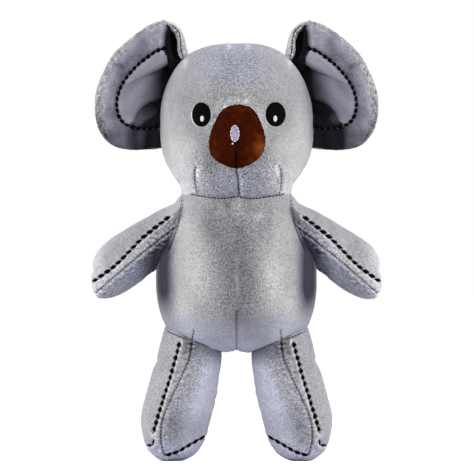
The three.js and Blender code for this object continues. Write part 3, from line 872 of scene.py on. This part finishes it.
ARM_ROWS = [  # upper line across and up, lower line across and up, front and back reach
    (32, 152, 32, 152, 0, 0),
    (27, 170, 40, 136, 15, 13),
    (33.5, 171.8, 46.8, 129, 20.5, 15.5),
    (40.5, 165, 50.4, 125, 19.5, 15.5),
    (49, 159.8, 53, 122.3, 17.2, 15),
    (58, 154.9, 56, 120.4, 15.6, 14.7),
    (71, 147.6, 62, 115.4, 14.6, 14.4),
    (81, 141.4, 70.5, 109, 13.8, 13.8),
    (87.4, 135.6, 78.5, 105, 12.4, 12.4),
    (91.2, 128.5, 84.6, 103.8, 10.2, 10.2),
    (92.5, 120.5, 88.8, 105, 7.2, 7.2),
    (92.6, 114.5, 91.3, 108.6, 3.6, 3.6),
    (92.4, 112, 92.4, 112, 0, 0),
]
LEG_ROWS = [  # outer line, inner line, front and back reach
    (27, 86, 27, 86, 0, 0),
    (42, 90, 14, 77, 15, 15),
    (45.8, 85.4, 10.4, 70.6, 19.2, 19.2),
    (48.7, 74.5, 10, 65, 20.6, 20.6),
    (53.2, 58, 11.6, 50, 21.2, 21),
    (57.6, 42, 14.4, 36, 21.6, 21.3),
    (60.8, 28.5, 17.4, 24, 21.8, 21.4),
    (60.2, 16.5, 20.8, 13.3, 20.8, 20.6),
    (56.8, 7.6, 25, 5.8, 17.6, 17.6),
    (50.8, 2, 32, 1.5, 11.5, 11.5),
    (42, 0.2, 42, 0.2, 0, 0),
]
ARM_SEAM = seen((294.2, 225.7), (306, 233.5), (335, 256.5), (378, 293.5))
ARM_STITCH = seen((303, 216.5), (330, 238), (357, 265), (380.6, 282.5))
LEG_SEAM = seen(
    (281, 342), (282.5, 352), (284.5, 361), (289.5, 372), (294.5, 383), (299, 392),
    (303.5, 402), (308, 412), (311.2, 422), (312.4, 432), (312, 441), (308.5, 455),
)
LEG_STITCH = seen((293, 342), (300.5, 370), (311, 404), (319.6, 432.5))
SOLE_STITCH = seen((268.3, 436), (283, 444), (296, 451.5), (308, 454.7))
HEEL_STITCH = seen((318.8, 439.6), (320.4, 444.6), (326.5, 444.8))
ARM_SEWING = {"pitch": 4.8, "wide": 1.5, "long": 0.88, "slant": -1}
LEG_SEWING = {"pitch": 4.35, "wide": 1.6, "long": 0.8, "slant": 0.5, "blunt": 0.75}
SOLE_SEWING = {"pitch": 4.6, "wide": 1.3, "long": 0.92, "slant": 0.3}
HEEL_SEWING = {"pitch": 3, "wide": 0.85, "long": 0.88, "slant": 0.3}
LEG_FOLDS = ((57, 0.25), (49.5, 0.35), (42, 0.3), (33, 0.2))  # heights and depths of soft cross folds


def arm_shades(x, z):
    """The arm's tone, cool and grain: painted light along the top, paler at the hand, painted shade below
    and towards the body, and lavender below.
    """
    under = ramp(right_of(x, z, ARM_SEAM), 0, 4)
    above = 1 - ramp(right_of(x, z, ARM_STITCH), -3, 1)
    tone = 0.12 * above + 0.55 * ramp(x, 80, 92)
    tone += (1 - above) * (1 - under) * (0.45 - 0.9 * ramp(x, 62, 48))
    tone -= under * (0.15 + 0.95 * ramp(x, 66, 50))
    return tone, 0.35 - 0.15 * above + 0.65 * under, 0.5 - 0.6 * above


def leg_shades(x, z):
    """The leg's tone, cool and grain: lavender and paler towards the inner side and the sole, with a
    painted highlight along the sole and painted shade under the body's edge.
    """
    past = right_of(x, z, LEG_SEAM)
    inner = ramp(past, 6, 18)
    tone = 0.1 + 0.1 * ramp(past, -2, 3) + 0.8 * inner * ramp(z, 70, 56)
    tone -= 0.7 * hump(x, 34, 14) * hump(z, 22, 11) * ramp(past, -1, 3)
    # Painted shade high on the inner side, under the body's edge, and a painted highlight low by the sole.
    tone -= 0.6 * ramp(z, 60, 72) * ramp(x, 38, 30)
    tone += 0.4 * ramp(z, 14, 5)
    past_seam = ramp(past, -1, 4)
    cool = 0.15 + 0.35 * past_seam + 0.4 * inner
    return tone, np.maximum(cool, ramp(z, 20, 8)), 0.2 + 0.8 * past_seam - 1.1 * inner


LIMBS = {
    "arm": {
        "rows": ARM_ROWS,
        "grid": (140, 168),
        "seam": ARM_SEAM,
        "stitches": [(ARM_STITCH, ARM_SEWING)],
        "folds": (),
        "shades": arm_shades,
        "root": ((42, 0, 147), (60, 0, 136)),  # two places along the limb's root, in millimetres
        "nodes": ("arm_upper_panel", "arm_lower_panel", "arm_stuffing"),
    },
    "leg": {
        "rows": LEG_ROWS,
        "grid": (140, 192),
        "seam": LEG_SEAM,
        "stitches": [(LEG_STITCH, LEG_SEWING), (SOLE_STITCH, SOLE_SEWING), (HEEL_STITCH, HEEL_SEWING)],
        "folds": LEG_FOLDS,
        "shades": leg_shades,
        "root": ((28, 0, 80), (32, 0, 58)),
        "nodes": ("leg_outer_panel", "leg_inner_panel", "leg_sole_panel", "leg_stuffing"),
    },
}


def limb_skin(plan):
    """The bare skin of a limb, swelled between its seams and held at its root."""

    def form(rings, sides):
        return loft(plan["rows"], rings, sides, fullness=2.15)

    def held(x, y, z):
        near = np.min([beside(x, z, line)[0] for line in (plan["seam"], plan["stitches"][0][0])], axis=0)
        root = np.zeros(x.shape, bool)
        root[: len(root) // 5] = True
        return root | (near < 1.4)

    return stuffed(form, *plan["grid"], held, cap=1)


def finish_limb(name, mirror, skins, sewn, seam_name, seam):
    """Adds the threads of a limb or an ear, and bakes the place of each of its pieces, skins and
    threads, into its mesh."""
    beads, links = zip(*sewn)
    pieces = [
        *skins,
        sewn_piece(f"{name}_top_stitch", beads, black_thread, mirror),
        sewn_piece(f"{name}_stitch_links", links, brown_thread, mirror),
        sewn_piece(f"{name}_{seam_name}", seam, seam_thread, mirror),
    ]
    for piece in pieces:
        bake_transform(piece)


def limb(kind, side, plan, skin):
    """A stuffed limb: its skin, its seams on the front and the back, and its top stitching."""
    mirror = SIDES[side]
    x, y, z = np.moveaxis(skin, -1, 0)
    front = np.where(y < 0, 1.0, 0.75)
    lift = 0.3 * lumps(skin * (mirror, 1, 1), 14, 7) + 0.07 * lumps(skin, 1.8, 8)
    tone, cool, grain = plan["shades"](x, z)
    off, along, _ = beside(x, z, plan["seam"])
    pucker = np.cos(2 * np.pi * along / 2.6)
    lift += front * groove(off, 0.8, 0.6, 0.4) * (1 + 0.3 * pucker)
    crumple = front * hump(off, 2.2, 3) * lumps(skin, 1.5, 9)
    lift += 0.5 * crumple
    # Painted highlights on the puckers beside the seam, painted shade in it, and the wrinkles' painted
    # light and shade.
    tone += 0.35 * hump(off, 1.6, 0.9) * (0.6 + pucker) - 0.7 * hump(off, 0, 0.6) + 0.45 * crumple
    for line, sewing in plan["stitches"]:
        off, along, over = beside(x, z, line)
        bunch = 0.5 + 0.5 * np.cos(2 * np.pi * along / sewing["pitch"])
        lift += (y < 0) * (groove(off, 0.7, 1.2, 0.3) + 0.4 * bunch * hump(off, 1.7, 0.7))
        # Painted highlights on the fabric bunched between the stitches, and painted shade under them.
        tone += (y < 0) * (0.8 * bunch * hump(off, 1.5, 0.6) * (1.3 - 0.5 * over) - 0.2 * hump(off, 0, 1))
    for height, depth in plan["folds"]:
        across = ramp(x, 34, 22)
        lift -= depth * across * hump(z - 0.2 * x + 5, height, 2.2)
        # A painted highlight on each fold.
        tone += 0.25 * across * hump(z - 0.2 * x + 3, height, 1.6)
    grid = skin + outward(skin) * lift[..., None]
    grid[..., 2] = np.maximum(grid[..., 2], 0)
    faces = grid_faces(grid)
    tree = tree_of(grid, faces)
    shades = {"tone": tone, "cool": cool, "grain": grain * ramp(y, 6, -6)}
    piece = make_piece(f"{kind}_{side}_skin", grid, faces, plush, shades, mirror)
    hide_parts(*[f"{node}_{side}" for node in plan["nodes"]])
    stitches = enumerate(plan["stitches"])
    sewn = [top_stitch(line, [tree], **sewing, seed=31 + k) for k, (line, sewing) in stitches]
    seam = fine_stitch(plan["seam"], [tree], radius=0.36, gap=0.42, sink=0)
    finish_limb(f"{kind}_{side}", mirror, [piece], sewn, "seam_stitch", seam)
    return tree


trees = {}
for kind, plan in LIMBS.items():
    skin = limb_skin(plan)
    for side in SIDES:
        trees[kind] = limb(kind, side, plan, skin)


def add_body_seams():
    """The fine seams of the belly, and those where the arms and the legs are sewn to the body."""
    grids = fine_stitch(BELLY_CREASE, [body_tree], radius=0.16, sink=0)
    for dart in DARTS:
        grids += fine_stitch(dart, [body_tree], radius=0.24, gap=0.1, sink=0)
    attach(sewn_piece("belly_stitches", grids, seam_thread), "torso")
    for side, mirror in SIDES.items():
        grids = fine_stitch(ARMHOLE, [body_tree, trees["arm"]], radius=0.2, sink=0)
        # At the hips the thread lies thick and close: a seam, and also a dark line that stands for the
        # shade under the body's edge.
        grids += fine_stitch(HIP, [body_tree, trees["leg"]], radius=0.34, gap=0.06, sink=0)
        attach(sewn_piece(f"limb_seams_{side}", grids, seam_thread, mirror), "torso")


add_body_seams()


# Ears

EAR_OUTLINE = [  # across and up, with the folded edge laid flat
    (47.2, 282), (53, 280.4), (61, 276.2), (70, 269.2), (79, 260.4), (85, 250), (89.2, 240),
    (90.8, 229), (90, 217.5), (86.6, 208.8), (80, 202.4), (71, 199.4), (59, 199.2), (46, 200.5),
    (34, 205), (26, 217), (20, 235), (15, 250), (15, 262), (21, 272.5), (34, 280),
]
EAR_INNER = 13  # the first point of the outline's inner edge
EAR_MIDDLE = np.array((58, 240))
EAR_STITCH = np.array([
    (44.8, 264.6), (49, 263.6), (57.6, 258.4), (68.2, 248.6), (75.4, 237),
    (76.8, 226), (73.6, 217.6), (65, 213.2), (54, 213.2), (46, 216.2),
])
EAR_Y = 13
LIP = np.array(
    [(40, 200), (40, 250), (43.4, 257), (45.8, 261), (46.8, 266), (46.6, 272), (46, 277), (47.8, 282)]
)
CURL_EDGE = np.array(
    [(33, 250), (33.8, 256.6), (35.4, 263), (35.8, 269.4), (37.4, 275.2), (41.4, 279), (47.8, 282)]
)
CURL_WIDTH = 10
CURL = np.array([  # the folded edge's way across and back from the lip, as seen from above
    (0, 0), (1.6, 0.8), (2.6, 4), (3.2, 8.5), (4.8, 12), (7, 12.8), (9, 10.6), (9.8, 5), (10, -1), (10, -7)
])
RIM_CREASE = np.array([(81, 256.4), (77.5, 254), (73.5, 252.8)])
FIRST_FOLD = np.array([(67, 244.4), (61.8, 247.4), (56.6, 250.2), (51.5, 252.8), (46.4, 255.8), (39, 260)])
SECOND_FOLD = np.array([(68.8, 215), (67.5, 219.5), (65, 224.6), (61.1, 229.1), (56.6, 231.7), (44, 233.5)])
EAR_SEWING = {"pitch": 3.8, "wide": 1.55, "long": 0.95, "slant": 0.4}


def ear_fields(flat):
    """For places of the flat pattern: distance in from the rim, distance in from the stitch line,
    distance to the stitching and how far along it, and how far past the fold's lip."""
    x, z = flat[..., 0], flat[..., 1]
    edge = beside(x, z, ringed(through(EAR_OUTLINE, 220, closed=True)))[0]
    stitch = through(EAR_STITCH, 60)
    within = right_of(x, z, ringed(np.vstack([stitch, (20, 216), (20, 264.6)])))
    line, along, _ = beside(x, z, stitch)
    past = np.interp(z, LIP[:, 1], LIP[:, 0]) - x
    return x, z, edge, within, line, along, past


def beyond(x, z, fold, soft):
    """1 on the deeper side of a fold, on the left of its run, and 0 on the other."""
    return ramp(-right_of(x, z, fold), -soft, soft)


def ear_depth(x, z, within, past):
    """How far the middle of the ear lies behind its border: a bowl with two folds, deep by the head."""
    deep = 1.8 * ramp(within, 0, 10) + 4 * ramp(x, 48, 42) * ramp(within, 0, 4)
    steps = 1.6 * ramp(x, 70, 56) + 9 * ramp(x, 62, 46)
    deep += beyond(x, z, FIRST_FOLD, 1) * ramp(within, 0, 7) * steps
    deep += 2.8 * beyond(x, z, SECOND_FOLD, 1.2) * ramp(within, 0, 4)
    return deep * (1 - ramp(past, -1, 1.5) * ramp(z, 250, 258))


def rim_roll(x, z):
    """How far the pile of the back comes round the rim: widest on the upper outer side."""
    upper_outer = ramp(z, 276, 262) * ramp(x, 56, 70) * ramp(z, 202, 222)
    return 2.2 - 1.6 * ramp(z, 212, 204) + 2.8 * upper_outer


def ear_sheet(x, z, within, past):
    """The middle surface of the ear: its flat pattern with its upper inner edge curled forward,
    so that a deep pocket opens between the curl and the bowl."""
    inner = sorted((up, across) for across, up in EAR_OUTLINE[EAR_INNER:])
    edge_x = np.interp(z, *np.array(inner).T)
    lip = x + past
    share = np.clip(past / np.maximum(lip - edge_x, 1), 0, 1)
    curl = through(CURL, 60)
    across, back = (np.interp(share, np.linspace(0, 1, len(curl)), column) for column in curl.T)
    curled = ramp(z, 250, 258) * (past > 0)
    closing = ramp(z, 283, 272)
    folded_x = lip - across / CURL_WIDTH * (lip - np.interp(z, CURL_EDGE[:, 1], CURL_EDGE[:, 0]))
    folded_y = back * (0.15 + 0.85 * closing)
    flat_y = ear_depth(x, z, within, past)
    y = EAR_Y + flat_y + curled * (folded_y - flat_y)
    return np.stack([x + curled * (folded_x - x), y, z], axis=-1)


def ear_rings(rings, sides):
    """Places of the flat pattern, in rings that lie closer towards the rim."""
    share = 1 - (1 - np.linspace(0, 1, rings)) ** 1.5
    return EAR_MIDDLE + share[:, None, None] * (through(EAR_OUTLINE, sides, closed=True) - EAR_MIDDLE)


def ear_form(front_rings, back_rings, sides):
    """Front and back layers of the ear as one closed grid."""
    layers = []
    for rings, facing in ((front_rings, 1), (back_rings, -1)):
        x, z, edge, within, line, along, past = ear_fields(ear_rings(rings, sides))
        sheet = ear_sheet(x, z, within, past)
        normal = grid_normals(sheet)
        normal *= -np.sign(normal[..., 1].mean()) * facing
        curled = ramp(past, -1.5, 1) * ramp(z, 250, 258)
        rim = np.sqrt(np.clip(1 - (1 - np.clip(edge / 6, 0, 1)) ** 2, 0, 1))
        at_rim = 1 - ramp(edge, 4, 8)
        if facing > 0:
            height = rim * (4.4 - curled * (3.4 - 1.6 * at_rim))
            height -= 1.8 * ramp(within, -4, 3) * (1 - curled)
            height += groove(line, 1.4, 1.2, 0.5) * (1 + 0.3 * np.cos(2 * np.pi * along / 4)) * (1 - curled)
            height += 0.4 * ramp(edge - rim_roll(x, z), 0.6, -0.6) * (1 - curled)
            height -= 0.9 * hump(beside(x, z, RIM_CREASE)[0], 0, 1.6)
            border = ramp(within, 0, -3) * (1 - curled) * ramp(edge, 0, 5)
            height += 0.8 * border * ramp(z, 218, 208) * np.cos((x - 61) * 0.55)
            height += 0.6 * border * ramp(z, 236, 250) * np.cos((x - z) * 0.25)
        else:
            height = 3.4 * rim + groove(line, 0.6, 1.5, 0.2) * (1 - curled)
            height += rim * curled * (1.6 * at_rim * ramp(z, 278, 260) - 1.3)
        layers.append(sheet + normal * height[..., None])
    return np.concatenate([layers[0], layers[1][::-1][1:]])


def flat_lumps(x, z, size, seed):
    return lumps(np.stack([x, z, 0 * x], axis=-1), size, seed)


def ear_tone_and_painted_shade(flat):
    """Painted shade and painted light: dark in the pocket, under the folds and beside the head, and paler
    along the border's top.
    """
    x, z, edge, within, line, _, past = ear_fields(flat)
    border = ramp(within, 0.5, -1)
    upper = ramp(z, 250, 258)
    lower = ramp(z, 222, 209)
    inside = 0.7 - 1.5 * ramp(x + 0.7 * np.clip(263 - z, 0, 8), 47.5, 44.5) * ramp(z, 250, 255)
    inside -= beyond(x, z, FIRST_FOLD, 0.6) * (0.45 + 1.3 * ramp(x, 65, 45))
    inside -= (0.6 + 0.4 * ramp(x, 53, 60)) * beyond(x, z, SECOND_FOLD, 0.9)
    inside += 0.22 * flat_lumps(x + z, 0.3 * (x - z), 9, 16)
    outside = -0.2 + 0.4 * ramp(z, 240, 262) * ramp(within, -1, -8)
    outside += 0.5 * hump(x, 56, 4) * ramp(z, 258, 264) + 0.2 * ramp(x, 60, 52) * (z > 250)
    outside += 0.55 * ramp(edge - rim_roll(x, z), 6, 0) * ramp(z, 208, 232)
    outside += 0.3 * flat_lumps(x, z, 8, 15) * (1 - lower)
    outside += 0.35 * ramp(x, 74, 82) * ramp(z, 208, 216) * ramp(z, 252, 244)
    outside -= lower * (0.3 + 0.6 * ramp(x, 80, 56)) + 0.4 * hump(beside(x, z, RIM_CREASE)[0], 0, 1.6)
    outside += 0.12 * lower * np.cos((x - 61) * 0.55) * ramp(x, 76, 68)
    tone = inside + border * (outside - inside) - 0.3 * hump(line, 0, 1.2)
    # A painted highlight along the lip, and near black past it: painted shade in the pocket.
    tone += 0.5 * hump(past, -1.8, 1) * upper
    return tone - ramp(past, -0.8, 1.2) * upper * (1.5 + tone)


FRONT_RINGS, BACK_RINGS, EAR_SIDES = 90, 46, 260
BURIED = 3  # mm; what lies deeper in the head is left out


def buried(place):
    near, normal, _, _ = head_tree.find_nearest(Vector(place))
    off = Vector(place) - near
    return off.length > BURIED and off.dot(normal) < 0


def ear_skin():
    """The bare ear, its border swelled between the rim and the stitch line."""
    coarse_front, coarse_back, coarse_sides = 26, 14, 84
    coarse = ear_form(coarse_front, coarse_back, coarse_sides)
    _, _, edge, within, _, _, past = ear_fields(ear_rings(coarse_front, coarse_sides))
    held = np.ones(coarse.shape[:2], bool)
    held[:coarse_front] = (within > -2) | (edge < 1) | (past > -3)
    move = swelling(coarse, held, growth=0.08, cap=2)
    grid = ear_form(FRONT_RINGS, BACK_RINGS, EAR_SIDES)
    grid[:FRONT_RINGS] += regridded(move[:coarse_front], FRONT_RINGS, EAR_SIDES)
    return grid


def ear(side, bare):
    mirror = SIDES[side]
    flat = ear_rings(FRONT_RINGS, EAR_SIDES)
    x, z, edge, within, _, _, past = ear_fields(flat)
    fuzz = np.zeros(bare.shape[:2])
    roll = rim_roll(x, z) + flat_lumps(x, z, 3, 14) + 0.5 * flat_lumps(x, z, 1.1, 17)
    strip = 0.3 + 3 * ramp(z, 257, 261)
    inner = ramp(past, -0.5, 0.5) * ramp(z, 244, 250)
    roll += (strip - roll) * inner
    fuzz[:FRONT_RINGS] = ramp(edge - roll, 1, -1)
    fuzz[FRONT_RINGS:] = 1
    lift = 0.22 * lumps(bare * (mirror, 1, 1), 12, 11) + 0.05 * lumps(bare, 1.6, 12)
    grain = lumps(bare, 1.4, 13)
    lift += 0.22 * fuzz * grain
    grid = bare + outward(bare) * lift[..., None]
    front_tone = ear_tone_and_painted_shade(flat)
    # On the pile that comes round the rim: paler by the curl, and darker towards the bottom as painted
    # shade.
    front_tone[edge < roll] = (0.15 + 0.25 * inner - 0.85 * ramp(z, 240, 208))[edge < roll]
    back_flat = ear_rings(BACK_RINGS, EAR_SIDES)[::-1][1:]
    _, z, edge_behind, _, _, _, past_behind = ear_fields(back_flat)
    # The back of the curled flap is paler, a painted highlight.
    painted_flap_light = ramp(past_behind, 0, 2) * ramp(z, 248, 256) * ramp(edge_behind, 9, 5)
    tone = np.concatenate([front_tone, 0.3 + 0.5 * painted_flap_light]) + 0.35 * fuzz * grain
    border = np.zeros(tone.shape)
    border[:FRONT_RINGS] = 1.2 * ramp(within, 1, -3)
    faces = grid_faces(grid)
    tree = tree_of(grid, faces)
    pile = np.ones(grid.shape[:2], bool)
    pile[:FRONT_RINGS] = edge < roll
    pile = pile.ravel()
    hidden = np.array([place[0] < 50 and buried(place) for place in grid.reshape(-1, 3)])
    kept = [face for face in faces if not all(hidden[face])]
    lining_faces = [face for face in kept if not all(pile[face])]
    back_faces = [face for face in kept if all(pile[face])]
    shades = {"tone": tone, "grain": border}
    lining = make_piece(f"ear_lining_{side}", grid, lining_faces, ear_lining, shades, mirror)
    back = make_piece(f"ear_back_{side}", grid, back_faces, plush, shades, mirror)
    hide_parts(f"ear_front_panel_{side}", f"ear_padding_{side}")
    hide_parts(f"ear_back_panel_{side}")
    sewn = [top_stitch(EAR_STITCH, [tree], **EAR_SEWING, seed=41)]
    seam = fine_stitch(CURL_EDGE[1:-1], [tree], radius=0.42, gap=0.03, sink=0)
    finish_limb(f"ear_{side}", mirror, (lining, back), sewn, "rim_seam", seam)


bare_ear = ear_skin()
for side in SIDES:
    ear(side, bare_ear)


# Stage, lights and camera


FLOOR_HALF = 16.0
WORLD_STRENGTH = 0.24
CAMERA_DISTANCE = 9.0
LAMPS = {  # azimuth, 0 in front and 90 on the right of the view; elevation; distance; size; watts
    "left_softbox": (-95, 20, 1.2, (0.4, 0.8), 9),
    "right_softbox": (95, 20, 1.2, (0.4, 0.8), 9),
    "front_softbox": (0, 38, 1.6, (1.6, 1.1), 14.5),
    "back_softbox": (180, 35, 1.4, (0.9, 0.6), 6),
}
LAMP_AIM = 0.15  # height of the point that the lamps face


def backdrop_ray(tree):
    """1 for the camera's rays, and for those that a reflection or glass sends on to the backdrop."""
    path = new_node(tree, "LightPath", {}).outputs
    either = path["Is Camera Ray"]
    for ray in ("Is Glossy Ray", "Is Transmission Ray"):
        either = total(tree, either, path[ray], "MAXIMUM")
    return either


def add_stage():
    """A plain white floor. On the backdrop's rays it also glows enough to hide all but its shadows."""
    material, tree, shader = new_material("floor_white")
    surface = {
        "Base Color": (0.8, 0.8, 0.8),
        "Roughness": 0.9,
        "Emission Color": (1, 1, 1),
        "Emission Strength": ranged(tree, backdrop_ray(tree), 0, 1, 0, 0.85),
    }
    feed(shader, surface)
    corners = [(-1, -1, 0), (1, -1, 0), (1, 1, 0), (-1, 1, 0)]
    mesh, _ = new_mesh("floor", np.array(corners) * FLOOR_HALF, [[0, 1, 2, 3]])
    mesh.materials.append(material)
    new_object("floor", mesh)


def add_world():
    world = bpy.data.worlds.new("studio")
    bpy.context.scene.world = world
    world.use_nodes = True
    tree = world.node_tree
    around = tree.nodes["Background"]
    feed(around, {"Color": (0.93, 0.94, 1), "Strength": WORLD_STRENGTH})
    white = new_node(tree, "Background", {"Color": (1, 1, 1), "Strength": 1})
    mix = {"Fac": backdrop_ray(tree), 1: around.outputs[0], 2: white.outputs[0]}
    feed(tree.nodes["World Output"], {"Surface": new_node(tree, "MixShader", mix).outputs[0]})


def add_lamp(name, azimuth, elevation, distance, size, power):
    """A soft lamp that faces the koala."""
    data = bpy.data.lights.new(name, "AREA")
    data.shape = "RECTANGLE"
    data.size, data.size_y = size
    data.energy = power
    lamp = new_object(name, data)
    turn, rise = math.radians(azimuth), math.radians(elevation)
    way = Vector((math.sin(turn) * math.cos(rise), -math.cos(turn) * math.cos(rise), math.sin(rise)))
    lamp.location = Vector((0, MIDDLE[1], LAMP_AIM)) + way * distance
    lamp.rotation_euler = way.to_track_quat("Z", "Y").to_euler()


def add_camera():
    across, up = seen((PHOTO_PX / 2, PHOTO_PX / 2))[0] * MM
    data = bpy.data.cameras.new("front")
    data.sensor_width = 36
    data.lens = data.sensor_width * CAMERA_DISTANCE / (PHOTO_PX * MM_PER_PX * MM)
    camera = new_object("front", data)
    camera.location = (across, MIDDLE[1] - CAMERA_DISTANCE, up)
    camera.rotation_euler = (math.pi / 2, 0, 0)
    bpy.context.scene.camera = camera


add_stage()
add_world()
for name, lamp in LAMPS.items():
    add_lamp(name, *lamp)
add_camera()
bpy.context.scene.view_settings.view_transform = "Standard"
